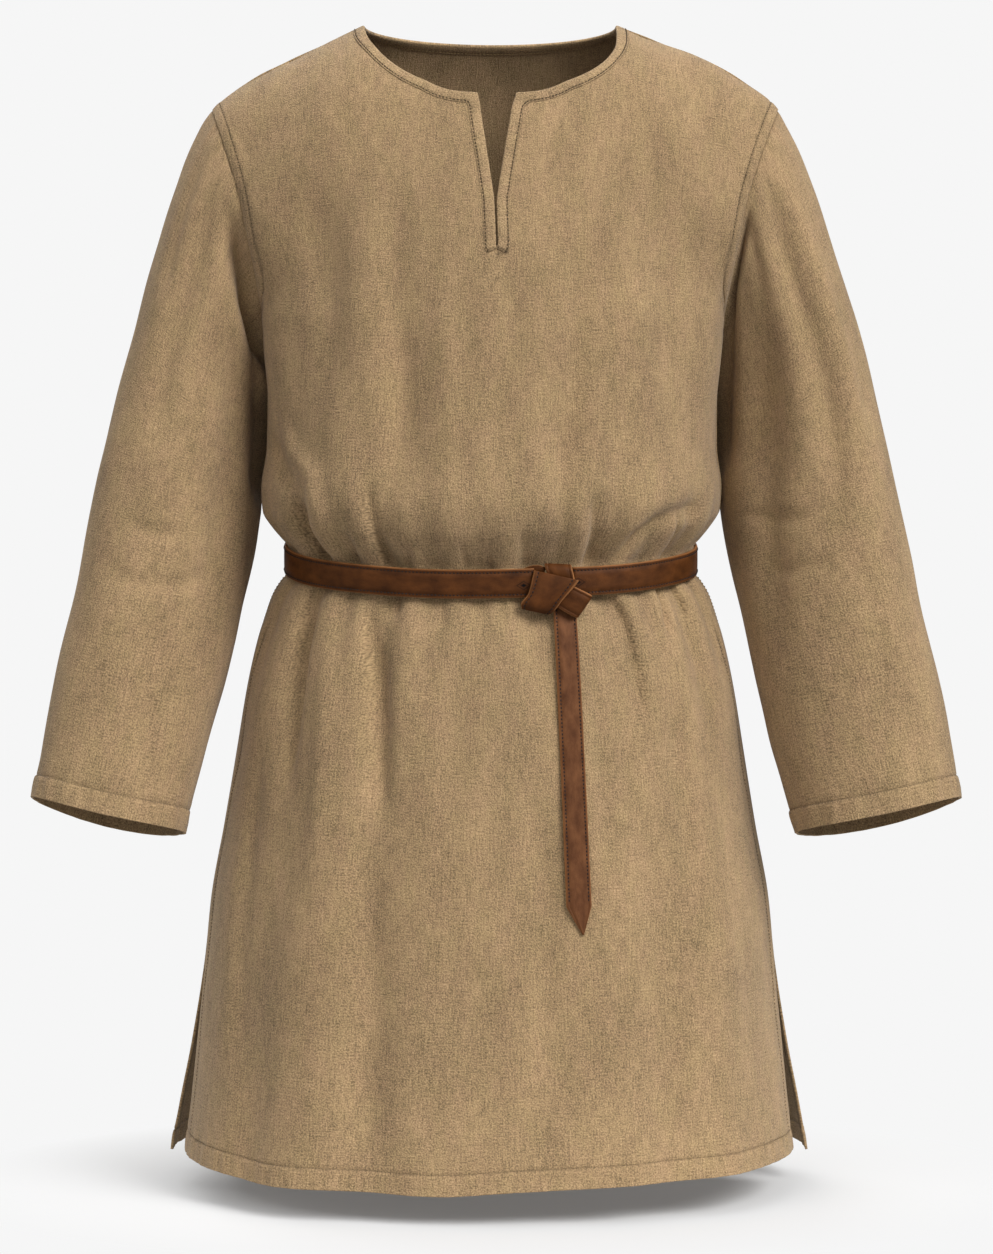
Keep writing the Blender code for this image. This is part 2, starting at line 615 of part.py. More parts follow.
def strap_on_body(bearing, level):
    """Middle of a strap that lies on the cloth."""
    off = WALL / 2 + STRAP_CLEARANCE + STRAP_THICKNESS / 2
    return lean(body_point(bearing, level) + outward(bearing, level) * off)


def add_belt():
    """From the knot's right side back around the body to its left side."""
    bearing = np.linspace(BELT_RIGHT_END, 360 + BELT_LEFT_END, BELT_SECTIONS)
    middle = strap_on_body(bearing, BELT_LEVEL + 0 * bearing)
    half = np.array([0, 0, BELT_WIDTH / 2])
    return add_strap("belt", middle + half, middle - half)


def add_knot_piece(name, edges):
    left = np.array([(edge.left_x, edge.left_y, edge.left_z) for edge in edges])
    right = np.array([(edge.right_x, edge.right_y, edge.right_z) for edge in edges])
    return add_strap(name, left, right)


def add_tail():
    """The belt's free end, hanging down the front of the skirt to its point."""
    sides = []
    for column in ("left", "right"):
        points = []
        for row in TAIL:
            height = row.level - read(BODY, "level", "sag", row.level)
            across = getattr(row, column) - read(LEAN, "height", "shift", height)
            half_width = read(BODY, "level", "half_width", row.level)
            points.append(strap_on_body(np.degrees(np.arcsin(across / half_width)), row.level))
        sides.append(points)
    return add_strap("belt_tail", *sides)


def main():
    for item in list(bpy.data.objects):
        bpy.data.objects.remove(item)
    collection = bpy.data.collections.new(COLLECTION)
    bpy.context.scene.collection.children.link(collection)
    front = add_panel("front_panel", -1, FRONT_GATHERS, 0.0)
    back = add_panel("back_panel", 1, BACK_GATHERS, 180.0)
    add_binding(front, back)
    add_sleeve("sleeve_left", 1, RIGHT_CREASES)
    add_sleeve("sleeve_right", -1, LEFT_CREASES)
    add_belt()
    add_knot_piece("knot_wrap", KNOT_WRAP)
    add_knot_piece("knot_front", KNOT_FRONT)
    add_knot_piece("knot_corner", KNOT_CORNER)
    add_knot_piece("knot_tuck", KNOT_TUCK)
    add_tail()


main()
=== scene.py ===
"""Looks of the belted linen tunic: fine cloth with hems, felled seams and stitches, a bound
neck, and a stitched leather belt with its knot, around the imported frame.

Tables are in millimetres and degrees, in the frame of the part: the front faces -Y, +X is to
the viewer's right, +Z is up, and the origin lies between the shoulders.
"""
import math
from collections import namedtuple

import bpy
import numpy as np
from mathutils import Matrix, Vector, noise


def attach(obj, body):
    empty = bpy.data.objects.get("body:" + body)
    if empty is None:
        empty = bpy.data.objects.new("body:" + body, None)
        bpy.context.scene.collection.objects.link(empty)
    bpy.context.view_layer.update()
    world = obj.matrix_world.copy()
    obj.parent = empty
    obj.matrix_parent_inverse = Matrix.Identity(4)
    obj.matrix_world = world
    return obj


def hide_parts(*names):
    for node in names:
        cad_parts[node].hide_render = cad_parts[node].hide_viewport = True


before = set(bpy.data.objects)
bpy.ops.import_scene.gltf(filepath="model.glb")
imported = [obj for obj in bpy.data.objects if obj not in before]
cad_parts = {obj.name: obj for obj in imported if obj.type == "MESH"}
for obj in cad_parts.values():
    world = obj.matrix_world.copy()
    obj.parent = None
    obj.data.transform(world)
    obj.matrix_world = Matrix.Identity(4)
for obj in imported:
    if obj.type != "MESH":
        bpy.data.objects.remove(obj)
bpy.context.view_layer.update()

# Driving sizes
MM = 0.001
WALL = 1.6
YOKE_LEVEL = -235.0
NECK_HALF_WIDTH = 110.0
NECK_POINT_HEIGHT = 28.0
FRONT_NECK_DROP = 56.0
FRONT_NECK_REACH = 75.0
BACK_NECK_DROP = 17.0
BACK_NECK_REACH = 70.0
SHOULDER_TIP = (246.0, 0.0, -44.0)
ARMHOLE_SHARE = 0.53
BELT_LEVEL = -430.0
BELT_WIDTH = 25.0
STRAP_THICKNESS = 3.0
STRAP_CLEARANCE = 0.6
BELT_LEFT_END = 12.0
BELT_RIGHT_END = 23.1
BINDING_WIDTH = 9.5

# Body of the tunic below the armholes, one row for each level. Half width to the side seams,
# reach to the front and to the back of the plane through the seams, squareness of the oval,
# how far the front centre sags below the back, opening of the side slits in degrees and
# extra half width of the back below the slits' tops.
Level = namedtuple("Level", "level half_width front back squareness sag slit flare")
BODY = (
    Level(YOKE_LEVEL, 197.0, 131, 123, 2.35, 0, 0.0, 0),
    Level(-297, 195.5, 135, 122, 2.35, 1, 0.0, 0),
    Level(-337, 196.0, 141, 121, 2.30, 4, 0.0, 0),
    Level(-371, 200.5, 147, 123, 2.30, 9, 0.0, 0),
    Level(-388, 199.5, 144, 122, 2.25, 12, 0.0, 0),
    Level(-400, 192.0, 135, 118, 2.20, 15, 0.0, 0),
    Level(-410, 183.0, 126, 113, 2.20, 17, 0.0, 0),
    Level(-417, 177.5, 122, 110, 2.20, 17, 0.0, 0),
    Level(-443, 177.0, 122, 110, 2.20, 17, 0.0, 0),
    Level(-451, 183.0, 124, 116, 2.20, 16, 0.0, 0),
    Level(-463, 190.0, 127, 121, 2.20, 14, 0.0, 0),
    Level(-480, 196.0, 132, 127, 2.20, 12, 0.0, 0),
    Level(-510, 204.5, 138, 134, 2.20, 10, 0.0, 0),
    Level(-545, 212.0, 144, 141, 2.20, 8, 0.0, 0),
    Level(-600, 221.0, 151, 149, 2.20, 6, 0.0, 0),
    Level(-670, 232.5, 159, 158, 2.25, 5, 0.0, 0),
    Level(-735, 244.5, 166, 166, 2.25, 5, 0.0, 0),
    Level(-800, 250.5, 172, 173, 2.30, 6, 0.9, 1.5),
    Level(-860, 257.0, 178, 179, 2.30, 7, 1.5, 5.5),
    Level(-910, 262.5, 183, 184, 2.30, 8, 1.9, 11),
    Level(-953, 268.0, 187, 188, 2.30, 9, 2.2, 14),
)

# How much lower the hem hangs than the levels say, by bearing; the drop starts at DROOP_TOP.
Droop = namedtuple("Droop", "bearing drop")
HEM_DROOP = (
    Droop(-90, 4), Droop(-66, 4), Droop(-50, 7), Droop(-30, 5), Droop(-10, 6.5), Droop(5, 2.5),
    Droop(30, 0), Droop(60, 0), Droop(89, 3), Droop(91, 10), Droop(110, 9), Droop(180, 5),
    Droop(250, 9), Droop(269, 10), Droop(270, 10),
)
DROOP_TOP = -790.0
HEM_LEVEL = -953.0

# How far the middle of the garment hangs to the viewer's left, by height.
Lean = namedtuple("Lean", "height shift")
LEAN = (Lean(30, -6), Lean(20, -4), Lean(8, -0.5), Lean(-8, 1), Lean(-25, -0.5), Lean(-45, -1.5),
        Lean(-235, -3), Lean(-440, -5), Lean(-980, -6.5))

# Spokes of the yoke run from the neckline out to the chest and the armhole, one row for each
# step around from the centre, 0, to the shoulder seam, 1. Each is a curve pulled towards one
# point near the neck and one far from it.
Spoke = namedtuple("Spoke", "around near_x near_y near_z far_x far_y far_z")
FRONT_YOKE = (
    Spoke(0.00, 0, -105, -88, 0, -126, -160),
    Spoke(0.25, 56, -108, -84, 128, -108, -160),
    Spoke(0.42, 96, -107, -68, 177, -86, -166),
    Spoke(0.53, 120, -103, -53, 198, -90, -174),
    Spoke(0.62, 136, -98, -38, 200, -84, -152),
    Spoke(0.75, 149, -82, -18, 201, -76, -108),
    Spoke(0.88, 159, -47, -3, 216, -46, -52),
    Spoke(0.96, 163, -17, 3, 224, -17, -24),
    Spoke(1.00, 164, 0, 4, 226, 0, -19),
)
BACK_YOKE = (
    Spoke(0.00, 0, 112, -41, 0, 123, -155),
    Spoke(0.25, 58, 110, -38, 128, 105, -155),
    Spoke(0.42, 98, 106, -32, 177, 83, -161),
    Spoke(0.53, 121, 100, -22, 198, 87, -171),
    Spoke(0.62, 136, 95, -13, 200, 82, -150),
    Spoke(0.75, 149, 78, -4, 201, 75, -107),
    Spoke(0.88, 159, 45, 1, 216, 46, -51),
    Spoke(0.96, 163, 16, 3, 224, 17, -24),
    Spoke(1.00, 164, 0, 4, 226, 0, -19),
)
# How far around a point of the yoke is blended with its neighbours, and the rows between
# which the blend starts and ends.
BLEND_REACH = 0.2
BLEND_ROWS = (0.0, 0.3, 0.75, 1.0)
BLEND_STEPS = 4

# Opening at the front of the neck, by the way down from the neckline: half its width
# between the cut edges, and how far its middle stands to the viewer's right.
Opening = namedtuple("Opening", "down half_gap offset")
NECK_SLIT = (Opening(0.0, 16.6, 1.0), Opening(0.23, 9.3, 1.2), Opening(0.42, 3.2, 1.4),
             Opening(0.46, 2.0, 1.5), Opening(0.63, 1.7, 3.0))
NECK_SLIT_END = 0.66
NECK_SLIT_REACH = 60.0
SLIT_BOTTOM_ROW = 0.63

# Soft folds and gathers: bearing from the front centre, width in degrees, depth inward
# (below 0 it stands out), and the levels where it starts, is full, and ends.
Fold = namedtuple("Fold", "bearing width depth top full_from full_to bottom")
FRONT_GATHERS = (
    Fold(-76, 4.5, 6, -362, -404, -460, -560),
    Fold(-56, 4.5, 9, -325, -404, -466, -650),
    Fold(-42, 4.0, 6, -352, -404, -456, -520),
    Fold(-28, 4.5, 9, -285, -404, -468, -700),
    Fold(-16, 4.0, 5, -368, -404, -458, -560),
    Fold(-3, 4.5, 6, -345, -404, -456, -540),
    Fold(11, 4.5, 6, -362, -404, -458, -560),
    Fold(32, 4.5, 9, -320, -404, -468, -690),
    Fold(46, 4.0, 5, -366, -404, -456, -535),
    Fold(61, 4.5, 8, -345, -404, -464, -620),
    Fold(76, 4.5, 6, -364, -404, -460, -555),
)
BACK_GATHERS = (
    Fold(104, 5.0, 7, -355, -404, -462, -600),
    Fold(121, 5.0, 8, -330, -404, -464, -660),
    Fold(137, 4.5, 6, -362, -404, -458, -560),
    Fold(154, 5.0, 9, -310, -404, -466, -700),
    Fold(171, 4.5, 6, -350, -404, -458, -580),
    Fold(188, 5.0, 8, -325, -404, -466, -650),
    Fold(204, 4.5, 6, -360, -404, -458, -560),
    Fold(221, 5.0, 9, -315, -404, -466, -690),
    Fold(238, 4.5, 7, -350, -404, -462, -610),
    Fold(255, 5.0, 6, -362, -404, -460, -580),
)
LONG_FOLDS = (
    Fold(17, 9.0, 4, -372, -402, -430, -480),
    Fold(-21, 6.5, 5, -120, -300, -360, -425),
    Fold(19, 6.5, 4, -170, -320, -365, -425),
    Fold(-41, 8.0, -3, -120, -260, -340, -400),
    Fold(40, 9.0, -3, -120, -250, -340, -400),
    Fold(-54, 6.0, 6, -560, -800, -960, -1100),
    Fold(-23, 6.5, 6, -500, -760, -960, -1100),
    Fold(-38, 7.0, -4, -540, -800, -960, -1100),
    Fold(37, 5.5, 5, -560, -760, -900, -1060),
    Fold(52, 7.0, -4, -560, -800, -960, -1100),
    Fold(124, 8.0, 6, -520, -780, -960, -1100),
    Fold(150, 8.0, -4, -540, -800, -960, -1100),
    Fold(168, 7.0, 7, -500, -780, -960, -1100),
    Fold(209, 8.0, 6, -520, -760, -960, -1100),
    Fold(236, 8.0, -4, -540, -800, -960, -1100),
    Fold(160, 8.0, 5, -110, -280, -360, -425),
    Fold(203, 8.0, 5, -120, -290, -360, -425),
)
BODY_FOLDS = FRONT_GATHERS + BACK_GATHERS + LONG_FOLDS

# Sleeve rings from the armhole, 0, to the cuff, 1: outermost and innermost point of the
# oval, half its depth, and how much its front is raised over its back. CUFF_SAG is the
# share of that rise by which front and back both hang lower.
Ring = namedtuple(
    "Ring", "along outer_x outer_y outer_z inner_x inner_y inner_z half_depth tilt")
SLEEVE = (
    Ring(0.00, 247.0, 0, -45, 204.0, 0, -235, 52, 0.00),
    Ring(0.08, 268.0, -1, -87, 200.5, 13, -252, 60, 0.00),
    Ring(0.18, 290.0, -3, -150, 196.4, 28, -279, 67, 0.00),
    Ring(0.30, 311.0, -6, -216, 194.8, 39, -318, 70, 0.02),
    Ring(0.44, 332.5, -12, -297, 199.5, 30, -368, 68, 0.06),
    Ring(0.58, 350.5, -22, -376, 206.0, 20, -420, 65, 0.11),
    Ring(0.72, 367.0, -35, -459, 222.0, 0, -490, 61, 0.16),
    Ring(0.86, 387.0, -49, -548, 243.0, -26, -580, 58, 0.20),
    Ring(1.00, 405.0, -63, -640, 269.5, -52, -672, 54, 0.250),
)
CUFF_SAG = 0.4
LOOP_FADE = 0.35

# Creases of the sleeves on the viewer's right and left: turn around the ring from the outer
# side over the front, at the top and at the bottom of the crease, width in degrees, depth,
# and its reach along the sleeve.
Crease = namedtuple("Crease", "turn_top turn_bottom width depth top full_from full_to bottom")
RIGHT_CREASES = (
    Crease(95, 140, 17, 9, 0.12, 0.34, 0.62, 0.84),
    Crease(58, 66, 20, -4, 0.10, 0.35, 0.70, 0.95),
    Crease(255, 230, 18, 7, 0.25, 0.48, 0.62, 0.85),
)
LEFT_CREASES = (
    Crease(120, 128, 16, 6, 0.10, 0.30, 0.60, 0.86),
    Crease(80, 84, 20, -4, 0.15, 0.40, 0.70, 0.95),
    Crease(250, 235, 18, 7, 0.22, 0.44, 0.60, 0.82),
)
BINDING_COLUMN = 3.0

# Knot and tail: stretches of strap between a left and a right edge, with the depth of the
# strap's middle in front of the side seams.
Edge = namedtuple("Edge", "left_x left_z right_x right_z left_y right_y")
KNOT_WRAP = (
    Edge(44.5, -447, 66.5, -447, -121.6, -118.0),
    Edge(43.5, -439, 66.0, -440, -121.6, -118.0),
    Edge(42.0, -432.6, 65.0, -433.6, -121.8, -118.6),
    Edge(41.0, -430.4, 64.2, -431.4, -123.6, -124.0),
    Edge(41.6, -432.8, 64.8, -433.8, -125.6, -128.6),
    Edge(43.0, -437, 66.0, -438, -126.4, -129.6),
    Edge(44.0, -443, 67.0, -444, -124.7, -129.0),
)
KNOT_FRONT = (
    Edge(32.0, -434.8, 70.5, -443.0, -126.3, -133.8),
    Edge(30.5, -441.5, 66.5, -448.5, -128.6, -134.4),
    Edge(27.0, -454.5, 56.5, -460.0, -130.8, -134.2),
    Edge(21.0, -463.0, 50.0, -468.8, -130.0, -132.0),
    Edge(21.5, -467.0, 46.0, -472.0, -126.6, -127.6),
)
KNOT_CORNER = (
    Edge(48.5, -464.0, 63.5, -447.0, -127.6, -129.6),
    Edge(57.0, -469.5, 73.0, -451.5, -129.4, -130.0),
    Edge(66.5, -475.0, 80.5, -455.5, -128.8, -128.4),
    Edge(68.5, -475.6, 81.6, -456.5, -126.2, -125.6),
)
KNOT_TUCK = (
    Edge(22.0, -438.5, 22.0, -434.4, -118.6, -118.6),
    Edge(30.0, -437.5, 29.5, -431.6, -119.8, -119.8),
    Edge(37.0, -437.0, 37.0, -431.0, -121.0, -121.0),
    Edge(41.0, -438.0, 42.5, -433.0, -121.4, -121.4),
)
# Tail of the belt by level: left and right edge
TailRow = namedtuple("TailRow", "level left right")
TAIL = (
    TailRow(-443, 47.8, 67.2), TailRow(-452, 48.2, 67.6), TailRow(-463, 48.6, 68.2),
    TailRow(-480, 49.4, 69.2), TailRow(-510, 50.8, 71.0), TailRow(-550, 52.4, 73.0),
    TailRow(-600, 54.6, 75.4), TailRow(-650, 56.6, 77.8), TailRow(-700, 58.6, 80.2),
    TailRow(-716, 59.2, 80.8), TailRow(-740, 73.0, 74.2),
)


def read(rows, key, column, at):
    """A smooth curve through one column of a table, without overshoot, read at key values."""
    ordered = sorted(rows, key=lambda row: getattr(row, key))
    x = np.array([getattr(row, key) for row in ordered], float)
    y = np.array([getattr(row, column) for row in ordered], float)
    step = np.diff(x)
    slope = np.diff(y) / step
    tangent = np.zeros_like(y)
    tangent[0], tangent[-1] = slope[0], slope[-1]
    for i in range(1, len(y) - 1):
        if slope[i - 1] * slope[i] > 0:
            before, after = 2 * step[i] + step[i - 1], step[i] + 2 * step[i - 1]
            tangent[i] = (before + after) / (before / slope[i - 1] + after / slope[i])
    at = np.clip(np.asarray(at, float), x[0], x[-1])
    i = np.clip(np.searchsorted(x, at) - 1, 0, len(step) - 1)
    t = (at - x[i]) / step[i]
    return (y[i] * (1 + 2 * t) * (1 - t) ** 2 + y[i + 1] * t * t * (3 - 2 * t)
            + step[i] * (tangent[i] * t * (1 - t) ** 2 - tangent[i + 1] * t * t * (1 - t)))


def body(column, level):
    """A column of the body's table at a level."""
    return read(BODY, "level", column, level)


def unit(ways):
    """The same directions with a length of 1."""
    return ways / (np.linalg.norm(ways, axis=-1, keepdims=True) + 1e-9)


def run_along(points):
    """Length of a line up to each of its points."""
    steps = np.linalg.norm(np.diff(points, axis=0), axis=1)
    return np.concatenate([[0], np.cumsum(steps)])


def ease(value, start, end):
    """0 at start, 1 at end, with level ends."""
    t = np.clip((value - start) / (end - start), 0, 1)
    return t * t * (3 - 2 * t)


def bezier(a, b, c, d, t):
    return a * (1 - t) ** 3 + 3 * b * t * (1 - t) ** 2 + 3 * c * t * t * (1 - t) + d * t ** 3


def lean(points):
    """Hang the points to the side by their height."""
    points = points.copy()
    points[..., 0] += read(LEAN, "height", "shift", points[..., 2])
    return points


def body_point(bearing, level, flare=0.0):
    """Middle of the wall at a bearing in degrees from the front centre, over +X."""
    angle = np.radians(bearing)
    level = np.asarray(level, float) + 0 * angle
    across, forward = np.sin(angle), np.cos(angle)
    power = body("squareness", level)
    reach = np.where(forward > 0, -body("front", level), body("back", level))
    x = (body("half_width", level) + flare) * across
    y = reach * np.clip(1 - np.abs(across) ** power, 0, 1) ** (1 / power)
    z = level - body("sag", level) * ((1 + forward) / 2) ** 1.5
    return np.stack([x, y, z], axis=-1)


def outward(bearing, level):
    """Level direction out of the body's oval."""
    angle = np.radians(bearing)
    reach = np.where(np.cos(angle) > 0, body("front", level), body("back", level))
    x = np.sin(angle) / body("half_width", level)
    y = -np.cos(angle) / reach
    size = np.hypot(x, y)
    return np.stack([x / size, y / size, 0 * x], axis=-1)


def fold_depth(bearing, level):
    """How far the folds move the wall inward."""
    depth = 0 * (bearing + level)
    for fold in BODY_FOLDS:
        away = (bearing - fold.bearing + 180) % 360 - 180
        reach = ease(level, fold.top, fold.full_from) * ease(level, fold.bottom, fold.full_to)
        depth = depth + fold.depth * reach * np.exp(-(away / fold.width) ** 2)
    return depth


def folded(points, bearing, level):
    """Move the wall in at the folds and let the hem droop."""
    points = points - outward(bearing, level) * fold_depth(bearing, level)[..., None]
    points[..., 2] -= (read(HEM_DROOP, "bearing", "drop", bearing)
                       * ease(level, DROOP_TOP, HEM_LEVEL))
    return points


def neckline(side, around):
    """Half of the neckline, from the centre to the shoulder; side is -1 at the front."""
    angle = np.asarray(around, float) * math.pi / 2
    rise = np.clip(np.cos(angle), 0, 1)
    drop, reach = ((FRONT_NECK_DROP, FRONT_NECK_REACH) if side < 0
                   else (BACK_NECK_DROP, BACK_NECK_REACH))
    x = NECK_HALF_WIDTH * np.sin(angle)
    return np.stack([x, side * reach * rise ** 0.625, NECK_POINT_HEIGHT - drop * rise], -1)


def armhole(side, along):
    """Half of the armhole's edge, from the armpit to the shoulder tip."""
    pit = body_point(90.0, YOKE_LEVEL)
    t = np.asarray(along, float)[..., None]
    return bezier(pit, np.array([190, side * 66, -190]), np.array([236, side * 70, -60]),
                  np.array(SHOULDER_TIP), t)


def spoke_point(side, around, down):
    """Raw half of the yoke: from the neckline, down 0, to the chest or the armhole, down 1."""
    rows = FRONT_YOKE if side < 0 else BACK_YOKE
    near = np.stack([read(rows, "around", "near_" + axis, around) for axis in "xyz"], -1)
    far = np.stack([read(rows, "around", "far_" + axis, around) for axis in "xyz"], -1)
    step = np.clip(around / ARMHOLE_SHARE, 0, 1) * 90
    chest = body_point(step if side < 0 else 180 - step, YOKE_LEVEL)
    past = np.clip((around - ARMHOLE_SHARE) / (1 - ARMHOLE_SHARE), 0, 1)
    end = np.where((around <= ARMHOLE_SHARE)[..., None], chest, armhole(side, past))
    return bezier(neckline(side, around), near, far, end, down[..., None])


def yoke_point(side, around, down, mirror):
    """The yoke blended across its spokes, with its folds and the slit."""
    around = np.asarray(around, float) + 0 * down
    down = np.asarray(down, float) + 0 * around
    top, start, finish, bottom = BLEND_ROWS
    reach = BLEND_REACH * ease(down, top, start) * ease(down, bottom, finish)
    reach = np.minimum(reach, np.minimum(around, 1 - around))
    points, total = 0, 0
    for step in range(-BLEND_STEPS, BLEND_STEPS + 1):
        share = step / (BLEND_STEPS + 1)
        weight = (1 - share ** 2) ** 2
        points = points + weight * spoke_point(side, around + reach * share, down)
        total += weight
    points = points / total
    step = np.clip(around / ARMHOLE_SHARE, 0, 1) * 90
    bearing = step if side < 0 else 180 - step
    turned = mirror * step if side < 0 else 180 - mirror * step
    depth = np.where(around < ARMHOLE_SHARE, fold_depth(turned, points[..., 2]), 0)
    points = points - outward(bearing, YOKE_LEVEL + 0 * bearing) * depth[..., None]
    if side < 0:
        return open_neck(points, mirror, down)
    points[..., 0] *= mirror
    return points


def open_neck(points, mirror, down):
    """Part the front along the slit; the second column keeps the binding's width from it."""
    across = points[..., 0].copy()
    gap = np.where(down < NECK_SLIT_END, read(NECK_SLIT, "down", "half_gap", down), 0)
    offset = read(NECK_SLIT, "down", "offset", down) * ease(down, 0.95, 0.6)
    second = across[:, 1:2]
    near = np.clip(across / second, 0, 1) * BINDING_WIDTH
    rest = (NECK_SLIT_REACH - gap - BINDING_WIDTH) / (NECK_SLIT_REACH - second)
    parted = gap + near + np.maximum(across - second, 0) * rest
    mixed = np.where(across < NECK_SLIT_REACH, parted, across)
    part = ease(down, 1.0, NECK_SLIT_END)
    fade = np.clip(1 - across / NECK_SLIT_REACH, 0, 1)
    points[..., 0] = mirror * (across + (mixed - across) * part) + offset * fade
    return points


def ring_point(turn, along):
    """Oval of the right sleeve; turn is 0 at the outer side and 90 at the front."""
    angle = np.radians(turn)
    outer = np.stack([read(SLEEVE, "along", "outer_" + axis, along) for axis in "xyz"], -1)
    inner = np.stack([read(SLEEVE, "along", "inner_" + axis, along) for axis in "xyz"], -1)
    half_depth = read(SLEEVE, "along", "half_depth", along)
    tilt = read(SLEEVE, "along", "tilt", along)
    centre = (outer + inner) / 2
    point = centre + (outer - centre) * np.cos(angle)[..., None]
    point[..., 1] -= half_depth * np.sin(angle)
    point[..., 2] += half_depth * tilt * (np.sin(angle) - CUFF_SAG * np.sin(angle) ** 2)
    return point, centre


def sleeve_point(turn, along, creases):
    """The right sleeve, fitted to the armhole at its top, with its creases."""
    point, centre = ring_point(turn, along)
    share = np.where(turn <= 180, 1 - turn / 180, turn / 180 - 1)
    loop = np.where((turn <= 180)[..., None], armhole(-1, share), armhole(1, share))
    first, _ = ring_point(turn, 0 * along)
    point = point + (loop - first) * (1 - ease(along, 0, LOOP_FADE))[..., None]
    depth = 0 * turn
    for crease in creases:
        reach = ease(along, crease.top, crease.full_from) \
            * ease(along, crease.bottom, crease.full_to)
        way = np.clip((along - crease.top) / (crease.bottom - crease.top), 0, 1)
        middle = crease.turn_top + (crease.turn_bottom - crease.turn_top) * way
        away = (turn - middle + 180) % 360 - 180
        depth = depth + crease.depth * reach * np.exp(-(away / crease.width) ** 2)
    return point - unit(point - centre) * depth[..., None]


def strap_on_body(bearing, level):
    """Middle of a strap that lies on the cloth."""
    off = WALL / 2 + STRAP_CLEARANCE + STRAP_THICKNESS / 2
    return lean(body_point(bearing, level) + outward(bearing, level) * off)


# Fine rows and columns of the cloth. LEVEL_STEPS gives the spacing of the rows down to each
# level; the offsets are those of extra rows along hems and columns along side edges.
LevelStep = namedtuple("LevelStep", "bottom step")
LEVEL_STEPS = (LevelStep(-300, 6.0), LevelStep(-390, 4.5), LevelStep(-480, 3.3),
               LevelStep(-560, 5.0), LevelStep(-931, 9.5))
HEM_ROWS = (0, 0.7, 3, 8, 13, 15.8, 16.8, 17.6, 18.4, 19.4, 22)
EDGE_COLUMNS = (0, 0.2, 0.8, 1.5, 1.8, 1.95, 2.05, 2.15, 2.3, 2.6, 3.2, 3.9, 4.5, 4.8, 4.95, 5.1,
                5.25, 5.4, 5.7, 6.2)
PANEL_COLUMNS = 164
ARMHOLE_ROWS = (1.0, 0.996, 0.989, 0.98, 0.972, 0.965, 0.958, 0.952, 0.946, 0.94, 0.93)
YOKE_STEP = 0.019
ARMHOLE_STEPS = 44
SLEEVE_STEPS = 150
SLEEVE_TURNS = 120
SLEEVE_LENGTH = 620.0
SLEEVE_RADIUS = 64.0

# Sewing: height of the hems, distance of the stitches beside the back's slits, beside the
# front's side edges up to SEAM_TOP, and of the felled seams. Doubled cloth stands up and
# stitches pull in. Front and back lie flush beside their seam over FLUSH_WIDTH.
HEM_HEIGHT = 17.6
SLIT_HEM = 11.0
SLIT_TOP = -800.0
FRONT_SEAM = 27.0
SEAM_TOP = -500.0
FLUSH_WIDTH = 26.0
FELL_WIDTH = 9.8
FELL_STITCH = 8.6
DOUBLED = 0.75
GROOVE = 0.9
PUCKER = 2.3
PUCKER_REACH = 12.0
PUCKER_TOP = 40
PUCKER_SIZE = (7, 7, 40)
DOUBLED_WALL = 1.35 * WALL
SINGLE_SHARE = 0.7
SAMPLE_ROW = 20
# The sleeve is gathered slightly where it meets the armhole, and sinks under the seam.
GATHER = 0.7
GATHER_REACH = 16.0
SEAM_SINK = 1.5
STITCH_LENGTH = 2.2
STITCH_PITCH = 3.2
STITCH_RADIUS = 0.40
STITCH_CORNERS = 5
StitchRing = namedtuple("StitchRing", "along size lift")
STITCH_RINGS = (StitchRing(-0.5, 0.35, -0.6), StitchRing(-0.28, 1.0, 1),
                StitchRing(0.28, 1.0, 1), StitchRing(0.5, 0.35, -0.6))
BINDING_ROUNDING = 4.0

Crinkle = namedtuple("Crinkle", "across along height")
CRINKLES = (Crinkle(62, 120, 2.6), Crinkle(24, 52, 0.9))

